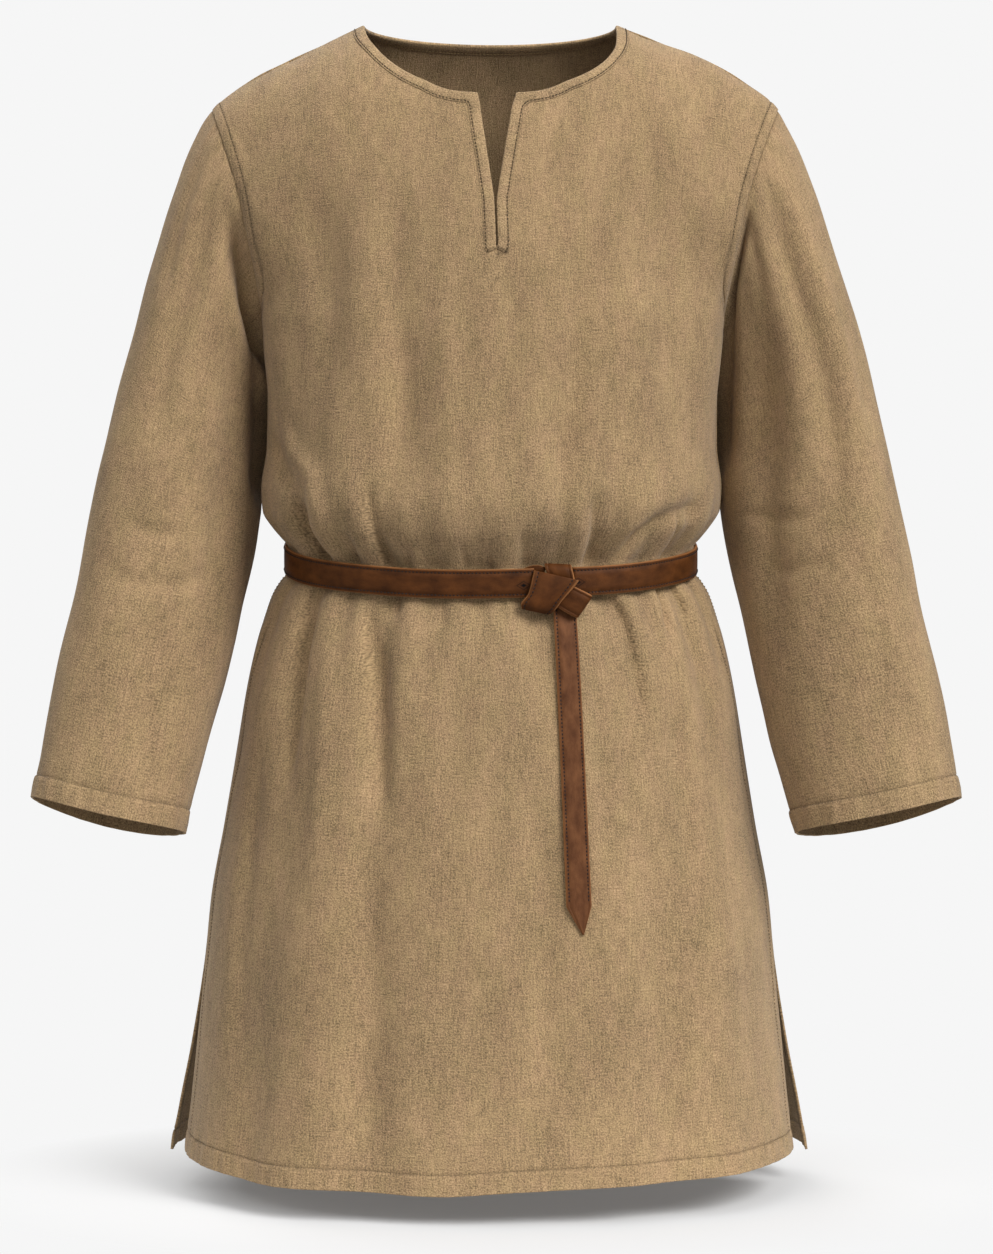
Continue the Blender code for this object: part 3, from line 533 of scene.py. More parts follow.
# Creases pressed into the worn cloth, each a line of given points with its width and
# depth (below 0 it stands out). At the waist the points are bearing and level.
Wrinkle = namedtuple("Wrinkle", "width depth points")
DEGREE = 3.3
WAIST_CREASES = (
    Wrinkle(9, 4.5, ((17.5, -290), (18, -340), (18.5, -400), (18.5, -432))),
    Wrinkle(8, 8.5, ((26.4, -352), (27.5, -385), (29, -410), (29.5, -436))),
    Wrinkle(6.5, 7.5, ((34, -425), (37, -410), (40, -398), (46, -387), (54, -380), (68, -379))),
    Wrinkle(4, 6.0, ((53.7, -378), (56, -396), (58, -412), (60, -432))),
    Wrinkle(3.5, 3.5, ((-38.5, -392), (-40.5, -408), (-42, -430))),
    Wrinkle(5.5, 7.0, ((-33, -345), (-31.5, -372), (-30, -400), (-29, -432))),
    Wrinkle(3, 3.5, ((-21.5, -396), (-23, -412), (-24, -430))),
    Wrinkle(3.5, 3.0, ((-7, -392), (-7, -410), (-7.5, -432))),
    Wrinkle(3, 2.5, ((0.5, -398), (0, -412), (0, -432))),
    Wrinkle(4, 3.0, ((7, -380), (9, -402), (10, -432))),
    Wrinkle(9, 9.5, ((-59, -366), (-57, -384), (-55.5, -402), (-55, -436))),
    Wrinkle(10, 6.0, ((-80, -322), (-70, -343), (-61, -358), (-57, -376))),
    Wrinkle(9, -4.5, ((-70, -300), (-62, -334), (-51, -352), (-48, -380), (-49, -410))),
    Wrinkle(9, 9.0, ((33.5, -426), (35.5, -448), (37, -477), (37.6, -510), (37.5, -575))),
    Wrinkle(5.5, 6.5, ((58, -424), (55.5, -450), (53, -468), (51.5, -496))),
    Wrinkle(4.5, 5.0, ((66, -424), (64, -448), (63, -480))),
    Wrinkle(10, 9.0, ((-58, -424), (-58.5, -450), (-56, -485), (-53, -540), (-51.5, -640))),
    Wrinkle(8, 8.5, ((-38, -424), (-35, -452), (-32, -480), (-28.5, -515), (-26, -560),
                     (-24.5, -660))),
    Wrinkle(3.5, 3.5, ((-27.5, -424), (-26.5, -446), (-25.5, -468))),
    Wrinkle(4, 3.0, ((-14, -424), (-13, -450), (-12, -482))),
    Wrinkle(4, 3.0, ((4, -424), (3.5, -450), (3, -476))),
    Wrinkle(9, 4.0, ((24, -430), (25, -480), (26, -560), (26, -680))),
    Wrinkle(10, -3.5, ((-46, -440), (-44, -500), (-41, -600), (-39, -720))),
    Wrinkle(12, 3.0, ((-6, -470), (-8, -560), (-9, -680))),
    Wrinkle(13, 4.0, ((48, -520), (47, -620), (47, -740))),
    Wrinkle(11, 3.5, ((12, -620), (11, -740), (12, -900))),
    Wrinkle(12, 4.5, ((-26, -640), (-25, -780), (-25, -940))),
    Wrinkle(13, 4.5, ((-66, -560), (-62, -700), (-60, -900))),
    Wrinkle(4, 3.5, ((14, -424), (14.5, -450), (15.5, -478))),
    Wrinkle(5, 4.5, ((104, -352), (105.5, -385), (106, -430), (107, -475), (109, -520))),
    Wrinkle(4, 5.0, ((120, -340), (121.5, -390), (121, -430), (123, -480), (125, -560))),
    Wrinkle(4, 4.0, ((138, -372), (137, -400), (137, -430), (135, -468))),
    Wrinkle(6, 5.5, ((156, -300), (155, -350), (154, -430), (153, -500), (151, -600))),
    Wrinkle(4, 4.0, ((170, -378), (171, -402), (171, -430), (172, -472))),
    Wrinkle(5, 5.0, ((190, -330), (188.5, -390), (188, -430), (186, -500), (185, -570))),
    Wrinkle(4, 4.0, ((204, -374), (204, -430), (206, -478))),
    Wrinkle(6, 5.5, ((224, -306), (222, -370), (221, -430), (222, -520), (225, -610))),
    Wrinkle(4, 4.5, ((240, -362), (238.5, -400), (238, -430), (237, -480))),
    Wrinkle(4, 4.0, ((257, -372), (255, -430), (253, -500))),
)
# Higher up the points are across and height, at the front and at the back.
FRONT_CREASES = (
    Wrinkle(15, -4.5, ((-206, -62), (-200, -120), (-196, -190), (-190, -262), (-186, -330))),
    Wrinkle(15, -4.5, ((204, -66), (198, -130), (193, -200), (186, -270), (182, -335))),
    Wrinkle(17, 5.0, ((-152, -90), (-146, -160), (-142, -240), (-138, -310))),
    Wrinkle(17, 4.0, ((150, -120), (146, -200), (140, -290))),
    Wrinkle(14, 5.5, ((-92, -90), (-86, -190), (-82, -270), (-84, -390))),
    Wrinkle(13, 5.0, ((76, -130), (70, -230), (64, -310), (66, -392))),
    Wrinkle(14, 2.5, ((12, -150), (10, -260), (2, -370))),
    Wrinkle(13, -2.5, ((-42, -170), (-44, -270), (-40, -370))),
)
BACK_CREASES = (
    Wrinkle(17, 4.0, ((-150, -70), (-142, -150), (-136, -240), (-132, -320))),
    Wrinkle(17, 4.0, ((146, -70), (140, -150), (134, -250), (130, -330))),
    Wrinkle(15, 3.0, ((-70, -120), (-62, -200), (-58, -300))),
    Wrinkle(15, 3.0, ((48, -150), (54, -230), (50, -330))),
    Wrinkle(16, -3.5, ((-206, -62), (-198, -140), (-190, -230))),
    Wrinkle(16, -3.5, ((204, -66), (196, -140), (188, -230))),
)
# On the sleeves the points are turn and distance from the armhole. Left and right are the
# viewer's, as in the tables of the sleeves' larger creases.
TURN = 1.13
RIGHT_SLEEVE_CREASES = (
    Wrinkle(11, 9.0, ((76, 4), (94, 16), (114, 26), (134, 40), (150, 70))),
    Wrinkle(15, 12.0, ((130, -40), (140, 40), (148, 110), (156, 190), (166, 300))),
    Wrinkle(28, 9.0, ((112, -40), (112, 60), (116, 160), (124, 260), (128, 340))),
    Wrinkle(14, 9.0, ((58, -20), (62, 60), (66, 140), (66, 230), (72, 330), (78, 400))),
    Wrinkle(9, -2.5, ((40, 30), (44, 140), (46, 250), (50, 330))),
    Wrinkle(8, 3.0, ((88, 10), (92, 60), (96, 120))),
    Wrinkle(9, 2.5, ((150, 330), (118, 352), (84, 362))),
    Wrinkle(8, 2.0, ((140, 398), (112, 410), (78, 406))),
    Wrinkle(11, 2.5, ((72, 380), (66, 460), (70, 560))),
    Wrinkle(11, 3.0, ((215, 120), (226, 220), (232, 330))),
    Wrinkle(9, 2.5, ((262, 300), (230, 322), (196, 326))),
    Wrinkle(11, 2.5, ((300, 80), (296, 200), (288, 320))),
    Wrinkle(12, 2.5, ((282, 390), (276, 480), (280, 580))),
)
LEFT_SLEEVE_CREASES = (
    Wrinkle(21, 20.0, ((82, 14), (90, 30), (102, 50), (120, 74), (146, 98), (172, 120))),
    Wrinkle(17, 11.0, ((152, 130), (152, 180), (158, 250), (170, 330))),
    Wrinkle(8, 4.0, ((112, -10), (124, 60), (140, 140), (150, 200))),
    Wrinkle(9, -2.5, ((98, 20), (108, 90), (122, 160), (136, 230))),
    Wrinkle(15, 6.5, ((52, 10), (62, 90), (62, 190), (68, 280), (60, 340))),
    Wrinkle(7, 2.5, ((30, 20), (34, 90), (40, 170))),
    Wrinkle(9, 2.5, ((40, 418), (72, 432), (106, 424), (136, 400))),
    Wrinkle(8, 2.0, ((52, 372), (80, 382), (108, 370))),
    Wrinkle(11, 2.5, ((108, 420), (102, 500), (104, 580))),
    Wrinkle(11, 3.0, ((218, 110), (228, 220), (230, 320))),
    Wrinkle(9, 2.5, ((266, 320), (236, 340), (204, 336))),
    Wrinkle(12, 2.5, ((298, 100), (290, 210), (284, 330))),
    Wrinkle(12, 2.5, ((276, 400), (280, 500), (276, 590))),
)


def object_from(name, points, faces, finish, attributes=()):
    """A mesh object in metres from points in millimetres; attributes are named vectors."""
    mesh = bpy.data.meshes.new(name)
    mesh.from_pydata((np.asarray(points, float) * MM).tolist(), [], faces)
    mesh.update()
    mesh.shade_smooth()
    for key, values in attributes:
        layer = mesh.attributes.new(key, "FLOAT_VECTOR", "POINT")
        layer.data.foreach_set("vector", np.asarray(values, float).ravel())
    mesh.materials.append(finish)
    made = bpy.data.objects.new(name, mesh)
    bpy.context.scene.collection.objects.link(made)
    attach(made, "root")
    return made


class Cloth:
    """One cloth piece: grids of points welded where they meet. Each point has its place in
    the weave with its share of shadow from stitches, and its share of doubled cloth."""

    def __init__(self):
        self.points, self.faces, self.weave, self.heavy, self.known = [], [], [], [], {}

    def index(self, point, weave, heavy):
        key = tuple(np.round(point, 2).tolist())
        if key not in self.known:
            self.known[key] = len(self.points)
            self.points.append(key)
            self.weave.append(weave)
            self.heavy.append(heavy)
        return self.known[key]

    def add(self, grid, mark, heavy, flip, weave=None):
        weave = weave_of(grid) if weave is None else weave
        weave = np.concatenate([weave[..., :2], mark[..., None]], axis=-1)
        number = [[self.index(p, w, h) for p, w, h in zip(*row)] for row in zip(grid, weave, heavy)]
        for a, b in zip(number[:-1], number[1:]):
            for i in range(len(a) - 1):
                corners = list(dict.fromkeys([a[i], a[i + 1], b[i + 1], b[i]]))
                if len(corners) > 2:
                    self.faces.append(corners if flip else corners[::-1])

    def finish(self, name, node):
        made = object_from(name, self.points, self.faces, linen, [("cloth", self.weave)])
        group = made.vertex_groups.new(name="doubled")
        for i, heavy in enumerate(self.heavy):
            if heavy > 0:
                group.add([i], float(heavy), "REPLACE")
        thicken = made.modifiers.new("Wall", "SOLIDIFY")
        thicken.thickness = DOUBLED_WALL * MM
        thicken.offset = 0
        thicken.vertex_group = "doubled"
        thicken.thickness_vertex_group = SINGLE_SHARE
        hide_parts(node)
        return made


def normals(grid, flip):
    """Outward directions of a grid of points."""
    out = unit(np.cross(np.gradient(grid, axis=1), np.gradient(grid, axis=0)))
    return out if flip else -out


def crinkles(grid, seed):
    """Small unevenness of worn linen, longer up and down than across."""
    height = np.zeros(grid.shape[:-1])
    for number, item in enumerate(CRINKLES):
        shrink = np.array([1 / item.across, 1 / item.across, 1 / item.along])
        shift = 31.7 * (seed + number)
        for place in np.ndindex(height.shape):
            spot = Vector(grid[place] * shrink) + Vector((shift, 0, 0))
            height[place] += item.height * noise.noise(spot)
    return height


def puckers(grid, height):
    """Small pulls of the stitches along a hem, by height over its edge."""
    pulled = np.zeros(height.shape)
    for place in map(tuple, np.argwhere(height < PUCKER_TOP)):
        share = math.exp(-((height[place] - HEM_HEIGHT * 0.6) / PUCKER_REACH) ** 2)
        spot = Vector(grid[place] / PUCKER_SIZE)
        pulled[place] = PUCKER * share * noise.noise(spot)
    return pulled


def creased(creases, across, along, scale):
    """How far the listed creases move the cloth, out being above 0."""
    height = 0.0 * (across + along)
    x, y = across * scale + 0 * along, along + 0 * across
    for crease in creases:
        line = np.array(crease.points, float) * (scale, 1)
        length = run_along(line)
        nearest = np.full(height.shape, 1e9)
        run = np.zeros(height.shape)
        for start, end, first, span in zip(line[:-1], line[1:], length, np.diff(length)):
            way = (end - start) / span
            share = np.clip((x - start[0]) * way[0] + (y - start[1]) * way[1], 0, span)
            away = np.hypot(x - start[0] - way[0] * share, y - start[1] - way[1] * share)
            run = np.where(away < nearest, first + share, run)
            nearest = np.minimum(away, nearest)
        taper = ease(run / length[-1], 0, 0.3) * ease(run / length[-1], 1, 0.7)
        height -= crease.depth * taper * np.exp(-(nearest / crease.width) ** 2)
    return height


def line_mark(distance, middle, width=1.0):
    """1 on a line of stitches, falling off on both sides."""
    return np.exp(-((distance - middle) / width) ** 2)


def doubled(distance, width):
    """1 on doubled cloth up to its folded edge."""
    return 1 - ease(distance, width - 0.5, width + 0.7)


def weave_of(grid):
    """Weave coordinates of the body in metres: around it below, straight across above."""
    x, y, z = np.moveaxis(grid, -1, 0)
    turn = np.arctan2(x / BODY[0].half_width, np.abs(y) / BODY[0].front)
    around = turn * 160 + 0.25 * x
    straight = ease(z, YOKE_LEVEL, -60.0)
    u = around + (x * 1.12 - around) * straight
    v = z - 0.6 * (np.abs(y) - BODY[0].front) * straight
    return np.stack([u, v], -1) * MM


def panel_columns(centre):
    """Bearings of a panel, close together at the side edges."""
    edge = np.array(EDGE_COLUMNS)
    inner = 90 - edge[-1]
    middle = np.linspace(-inner, inner, PANEL_COLUMNS + 1)[1:-1]
    return centre + np.concatenate([-90 + edge, middle, (90 - edge)[::-1]])


def panel_levels():
    """Levels of a panel's rows from the hem to the armpits."""
    rows, top = [YOKE_LEVEL], YOKE_LEVEL
    for part in LEVEL_STEPS:
        count = round((top - part.bottom) / part.step)
        rows += list(np.linspace(top, part.bottom, count + 1)[1:])
        top = part.bottom
    return np.array(sorted([HEM_LEVEL + offset for offset in HEM_ROWS] + rows[:-1]))


def body_relief(grid, seed, side):
    """Unevenness and creases of front or back, by place."""
    creases = FRONT_CREASES if side < 0 else BACK_CREASES
    return crinkles(grid, seed) + creased(creases, grid[..., 0], grid[..., 2], 1.0)


def level_out(out, grid, bearing):
    """Directions that agree where the yoke meets the body: level and square to its oval."""
    share = ease(np.abs(grid[..., 2] - YOKE_LEVEL), 14, 0)[..., None]
    return unit(out * (1 - share) + outward(bearing, YOKE_LEVEL + 0 * bearing) * share)


def along_rows(arc, distance, values, rows):
    """Values at a distance along each of the rows."""
    return np.array([[np.interp(distance[row], arc[row], values[row, :, axis])
                      for axis in range(3)] for row in rows])


def column_at(edge, distance):
    """The column in the first half of a row that lies nearest to a distance from its edge."""
    return int(np.argmin(np.abs(edge[:len(edge) // 2] - distance)))


def add_panel(name, node, side, centre, seed):
    """Front or back in fine points, with its hems, felled seams and stitches."""
    cloth, lines = Cloth(), []
    bearings, levels = panel_columns(centre), panel_levels()[:, None]
    slit = body("slit", levels)
    flare = body("flare", levels) * (side > 0)
    turned = centre + (bearings - centre) * (1 - slit / 90)
    grid = lean(folded(body_point(turned, levels, flare), turned, levels + 0 * turned))
    height = levels - levels.min() + 0 * bearings
    arc = np.cumsum(np.linalg.norm(np.diff(grid, axis=1), axis=-1), axis=1)
    arc = np.concatenate([0 * arc[:, :1], arc], axis=1)
    edge = np.minimum(arc, arc[:, -1:] - arc)
    open_side = ease(levels, SLIT_TOP + 8, SLIT_TOP)
    back_side = (side > 0) * (1 - open_side) * ease(levels, YOKE_LEVEL, YOKE_LEVEL - 12)
    hem = doubled(height, HEM_HEIGHT)
    hem_width = SLIT_HEM if side > 0 else FRONT_SEAM
    hem_share = open_side if side > 0 else ease(levels, SEAM_TOP + 30, SEAM_TOP)
    side_hem = doubled(edge, hem_width) * hem_share
    mark = line_mark(height, HEM_HEIGHT)
    mark = np.maximum(mark, line_mark(edge, hem_width) * hem_share * (height > HEM_HEIGHT - 1))
    mark = np.maximum(mark, line_mark(edge, FELL_STITCH) * back_side)
    raised = np.maximum(np.maximum(hem, side_hem), doubled(edge, FELL_WIDTH) * back_side)
    beside = (1 - ease(edge, 0, FLUSH_WIDTH)) * ease(levels, YOKE_LEVEL - 4, YOKE_LEVEL - 50)
    relief = DOUBLED * raised - GROOVE * mark + body_relief(grid, seed, side) * (1 - beside)
    relief += puckers(grid, height)
    relief += creased(WAIST_CREASES, bearings + 0 * levels, levels + 0 * bearings, DEGREE)
    out = level_out(normals(grid, True), grid, turned)
    grid = grid + out * relief[..., None]
    cloth.add(grid, mark, np.maximum(hem, side_hem), True)
    stitched = HEM_ROWS.index(HEM_HEIGHT)
    lines.append((grid[stitched], out[stitched]))
    column = column_at(edge[SAMPLE_ROW], hem_width)
    top = int(np.argmax(levels[:, 0] > SLIT_TOP))
    last = len(bearings) - 1 - column
    end = top if side > 0 else int(np.argmax(levels[:, 0] > SEAM_TOP))
    rows = range(stitched, end)
    for distance in (hem_width + 0 * arc[:, -1], arc[:, -1] - hem_width):
        lines.append((along_rows(arc, distance, grid, rows), along_rows(arc, distance, out, rows)))
    lines.append((grid[top, :column + 1], out[top, :column + 1]))
    lines.append((grid[top, last:], out[top, last:]))
    if side > 0:
        column = column_at(edge[top + SAMPLE_ROW], FELL_STITCH)
        for place in (column, len(bearings) - 1 - column):
            lines.append((grid[top:, place], out[top:, place]))

    rows = np.arange(ARMHOLE_ROWS[-1] - YOKE_STEP, YOKE_STEP / 2, -YOKE_STEP)
    down = np.concatenate([ARMHOLE_ROWS, rows, [0.0]])[:, None]
    for mirror in (-1, 1):
        flip = mirror * side < 0
        steps = np.sort(-side * mirror * (bearings - centre))
        steps = steps[steps >= -1e-6].clip(0)
        past = np.sin(np.linspace(0, math.pi / 2, ARMHOLE_STEPS + 1)[1:])
        around = np.concatenate([steps / 90 * ARMHOLE_SHARE,
                                 ARMHOLE_SHARE + (1 - ARMHOLE_SHARE) * past])
        grid = lean(yoke_point(side, around, down, mirror))
        bearing = np.clip(around / ARMHOLE_SHARE, 0, 1) * 90
        bearing = mirror * bearing if side < 0 else 180 - mirror * bearing
        out = normals(grid, flip)
        out[:, 0, 0] = 0
        first, last = len(steps) - len(EDGE_COLUMNS), len(steps) + 1
        share = ((around[first:last] - around[first]) / (around[last] - around[first]))[:, None]
        out[:, first:last] = out[:, first:first + 1] * (1 - share) + out[:, last:last + 1] * share
        out = level_out(out, grid, bearing + 0 * down)
        hole = grid[0, len(steps) - 1:]
        away = np.linalg.norm(grid[:, :, None, :] - hole[None, None], axis=-1).min(-1)
        raised = doubled(away, FELL_WIDTH)
        mark = line_mark(away, FELL_STITCH, 0.9)
        shoulder = np.where(grid[..., 2] > -60, np.abs(grid[..., 1]), 99)
        if side > 0:
            raised = np.maximum(raised, doubled(shoulder, FELL_WIDTH))
            mark = np.maximum(mark, line_mark(shoulder, FELL_STITCH, 0.9))
        clear = ease(grid[..., 2], YOKE_LEVEL, YOKE_LEVEL + 12)
        mark = mark * clear
        border = grid[-1]
        if side < 0:
            border = np.vstack([border, grid[down[:, 0] < NECK_SLIT_END, 0]])
        near = np.linalg.norm(grid[:, :, None, :] - border[None, None, ::2], axis=-1).min(-1)
        relief = DOUBLED * raised * clear - GROOVE * mark
        relief += body_relief(grid, seed, side) * ease(near, 8, 40)
        grid = grid + out * relief[..., None]
        cloth.add(grid, mark, 0 * away, flip)
        lines.append(line_at(grid, out, away, FELL_STITCH, len(steps) + 3))
        if side > 0:
            lines.append(line_at(grid.swapaxes(0, 1)[::-1], out.swapaxes(0, 1)[::-1],
                                 shoulder.T[::-1], FELL_STITCH, 8, len(down) - 4))
    return cloth.finish(name, node), lines


def line_at(grid, out, distance, value, first, last=None):
    """Where each column of a grid, from its first row, comes to a distance from an edge."""
    points, ways = [], []
    for column in range(first, last or grid.shape[1]):
        past = np.flatnonzero(distance[:, column] > value)
        if len(past) and past[0] > 0:
            row = past[0]
            before, after = distance[row - 1, column], distance[row, column]
            share = (value - before) / (after - before)
            place = grid[row - 1, column] * (1 - share) + grid[row, column] * share
            if np.linalg.norm(place - grid[0, column]) < 2 * value:
                points.append(place)
                ways.append(out[row, column])
    return np.array(points), np.array(ways)


def add_sleeve(name, node, mirror, creases, fine_creases, seed):
    """A sleeve in fine points, from the felled seam to the hemmed cuff."""
    turn = np.linspace(0, 360, SLEEVE_TURNS + 1)[None, :]
    hem = 1 - np.array(HEM_ROWS)[::-1] / SLEEVE_LENGTH
    along = np.concatenate([np.linspace(0, 0.03, 9), np.linspace(0.03, hem[0], SLEEVE_STEPS)[1:],
                            hem[1:]])[:, None]
    grid = sleeve_point(turn + 0 * along, along + 0 * turn, creases)
    inner_share = 1 - (1 + np.cos(np.radians(turn))) / 2 * ease(along, 0, LOOP_FADE)
    grid[..., 0] = mirror * grid[..., 0] + read(LEAN, "height", "shift", grid[..., 2]) * inner_share
    flip = mirror > 0
    out = normals(grid, flip)
    height = (1 - along) * SLEEVE_LENGTH + 0 * turn
    from_seam = along * SLEEVE_LENGTH + 0 * turn
    cuff = doubled(height, HEM_HEIGHT)
    mark = np.maximum(line_mark(height, HEM_HEIGHT), line_mark(from_seam, 0.6, 2.1))
    gathers = np.sin(np.radians(turn * 23)) + 0.6 * np.sin(np.radians(turn * 37 + 50))
    gathers = gathers * np.exp(-from_seam / GATHER_REACH) * (1 - np.exp(-from_seam / 3))
    worn = crinkles(grid, seed) + creased(fine_creases, turn, from_seam, TURN)
    relief = DOUBLED * cuff - GROOVE * line_mark(height, HEM_HEIGHT) + puckers(grid, height)
    relief += GATHER * gathers - SEAM_SINK * np.exp(-from_seam / 2.6)
    relief += worn * ease(from_seam, 0, 20)
    relief[:, -1] = relief[:, 0]
    out[:, -1] = out[:, 0] = (out[:, 0] + out[:, -1]) / 2
    grid = grid + out * relief[..., None]
    weave = np.stack([np.radians(turn) * SLEEVE_RADIUS + 0 * along, -from_seam], -1) * MM
    cloth = Cloth()
    cloth.add(grid, mark, cuff, flip, weave)
    stitched = len(along) - 1 - HEM_ROWS.index(HEM_HEIGHT)
    return cloth.finish(name, node), [(grid[stitched], out[stitched])]


def tube(rings, size, first=0):
    """Faces around rings of points that follow each other, with both ends closed."""
    faces = []
    for ring in range(rings - 1):
        for corner in range(size):
            a, b = first + ring * size + corner, first + ring * size + (corner + 1) % size
            faces.append((a, b, b + size, a + size))
    last = first + (rings - 1) * size
    faces.append(tuple(range(first + size - 1, first - 1, -1)))
    faces.append(tuple(range(last, last + size)))
    return faces


def resample(points, ways, pitch):
    """Places along a line one pitch apart, with their outward directions."""
    length = run_along(points)
    count = max(2, int(length[-1] / pitch))
    at = (np.arange(count) + 0.5) * length[-1] / count
    places = np.stack([np.interp(at, length, points[:, k]) for k in range(3)], -1)
    outs = np.stack([np.interp(at, length, ways[:, k]) for k in range(3)], -1)
    return places, unit(outs)


def add_stitches(name, lines, finish, lift, size_share=1.0):
    """Short raised threads along lines of (points, outward directions)."""
    points, faces = [], []
    for line, ways in lines:
        if len(line) < 2:
            continue
        places, outs = resample(line, ways, STITCH_PITCH)
        along = unit(np.gradient(places, axis=0))
        side = np.cross(along, outs)
        for place, way, out, cross in zip(places, along, outs, side):
            first = len(points)
            for ring in STITCH_RINGS:
                middle = place + way * STITCH_LENGTH * ring.along + out * lift * ring.lift
                for corner in range(STITCH_CORNERS):
                    angle = 2 * math.pi * corner / STITCH_CORNERS
                    spoke = cross * math.cos(angle) + out * math.sin(angle)
                    points.append(middle + spoke * STITCH_RADIUS * ring.size * size_share)
            faces += tube(len(STITCH_RINGS), STITCH_CORNERS, first)
    return object_from(name, points, faces, finish)


# Cross-section of the folded binding: way in from the cut edge, height over the middle of
# the cloth, and share of shadow. Its stitches lie in the dip.
BINDING_OUTER = ((10.3, 0.5, 1), (10.1, 1.15, 0.9), (9.6, 1.45, 0.2), (8.8, 1.25, 0.3),
                 (8.3, 0.95, 1), (7.8, 1.25, 0.3), (7.0, 1.6, 0), (3.0, 1.65, 0),
                 (0.6, 1.6, 0), (-0.6, 1.2, 0), (-1.0, 0.5, 0))
BINDING_DIP = 4
INSIDE_BODY = np.array([0, 0, -180.0])


def binding_frames():
    """Points of the cut edge with the way in and the way out, around the whole neck."""
    step, frames = 0.02, {}
    for side, mirror in ((-1, -1), (1, -1), (1, 1), (-1, 1)):
        around = np.linspace(0, 1, 60)
        edge = yoke_point(side, around, np.zeros((1, 1)), mirror)[0]
        inside = yoke_point(side, around, np.full((1, 1), step), mirror)[0]
        frames[side, mirror] = sweep_frames(lean(edge), lean(inside))
    path = []
    for mirror in (-1, 1):
        down = np.linspace(0, SLIT_BOTTOM_ROW + 0.03, 46)[:, None]
        around = np.array([0, BINDING_COLUMN / 90 * ARMHOLE_SHARE])
        strip = lean(yoke_point(-1, around, down, mirror))
        slit = sweep_frames(strip[:, 0], strip[:, 1])
        neck = frames[-1, mirror]
        corner = rounded_corner(neck, slit)
        neck = [f for f in neck if np.linalg.norm(f[0] - neck[0][0]) > BINDING_WIDTH]
        slit = [f for f in slit if np.linalg.norm(f[0] - slit[0][0]) > BINDING_WIDTH]
        half = slit[::-1] + corner[::-1] + neck + frames[1, mirror][::-1][1:]
        path.append(half)
    return path[0] + path[1][::-1][1:]


def sweep_frames(edge, inside):
    """Along a cut edge: its points, the way into the cloth and the way out of it."""
    along = unit(np.gradient(edge, axis=0))
    way = inside - edge
    way = unit(way - along * (way * along).sum(1, keepdims=True))
    out = np.cross(along, way)
    out *= np.sign(((edge - INSIDE_BODY) * out).sum(1, keepdims=True))
    return list(zip(edge, way, out))


def rounded_corner(neck, slit):
    """The binding's mitred corner, its cut edge rounded."""
    edge, (way_neck, out_neck), (way_slit, out_slit) = neck[0][0], neck[1][1:], slit[1][1:]
    inner = edge + BINDING_WIDTH * (way_neck + way_slit)
    frames = []
    for turn in np.linspace(0, math.pi / 2, 6):
        arc = way_neck * (1 - math.cos(turn)) + way_slit * (1 - math.sin(turn))
        point = edge + BINDING_ROUNDING * arc
        frames.append((point, (inner - point) / BINDING_WIDTH, (out_neck + out_slit) / 2))
    return frames


def add_binding():
    """The folded strip over the neckline and down the slit, swept in one piece."""
    frames = binding_frames()
    inner = tuple((way, -height, shade) for way, height, shade in BINDING_OUTER[::-1])
    profile = BINDING_OUTER + inner
    points, weave = [], []
    runs = run_along(np.array([edge for edge, _, _ in frames]))
    for run, (edge, way, out) in zip(runs, frames):
        for reach, height, shade in profile:
            points.append(edge + way * reach * BINDING_WIDTH / 10 + out * height)
            weave.append((run * MM, reach * MM + 0.5, shade))
    faces = tube(len(frames), len(profile))
    made = object_from("neck_binding_cloth", points, faces, binding_linen, [("cloth", weave)])
    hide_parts("neck_binding")
    dip, height, _ = BINDING_OUTER[BINDING_DIP]
    outs = np.array([out for _, _, out in frames])
    middle = np.array([edge + way * dip * BINDING_WIDTH / 10 for edge, way, _ in frames])
    return [(middle + outs * height, outs)], [(middle - outs * height, -outs)]


# Cross-section of the belt's leather: share of the half width, and share of the half
# thickness. The stitches lie in the dips of the front.
STRAP_PROFILE = ((-1.0, -0.45), (-0.985, 0.35), (-0.95, 0.85), (-0.88, 1.0), (-0.80, 1.0),
                 (-0.765, 0.72), (-0.73, 1.0), (-0.4, 1.06), (0.0, 1.08), (0.4, 1.06),
                 (0.73, 1.0), (0.765, 0.72), (0.80, 1.0), (0.88, 1.0), (0.95, 0.85),
                 (0.985, 0.35), (1.0, -0.45), (0.95, -0.9), (0.85, -1.0), (0.0, -1.0),
                 (-0.85, -1.0), (-0.95, -0.9))
STRAP_DIP = 0.765
STRAP_DIP_HEIGHT = 0.72
BELT_ROWS = 300
TAIL_ROWS = 90


def smooth_rows(rows, count):
    """Rows of numbers filled in by a smooth curve through them."""
    rows = np.array(rows, float)
    step = np.linalg.norm(np.diff(rows, axis=0), axis=1)
    at = np.concatenate([[0], np.cumsum(np.sqrt(step))])
    slope = np.gradient(rows, at, axis=0)
    result = []
    for value in np.linspace(0, at[-1], count):
        i = min(int(np.searchsorted(at, value, "right")) - 1, len(at) - 2)
        width = at[i + 1] - at[i]
        t = (value - at[i]) / width
        result.append(rows[i] * (1 + 2 * t) * (1 - t) ** 2 + rows[i + 1] * t * t * (3 - 2 * t)
                      + width * (slope[i] * t * (1 - t) ** 2 - slope[i + 1] * t * t * (1 - t)))
    return np.array(result)


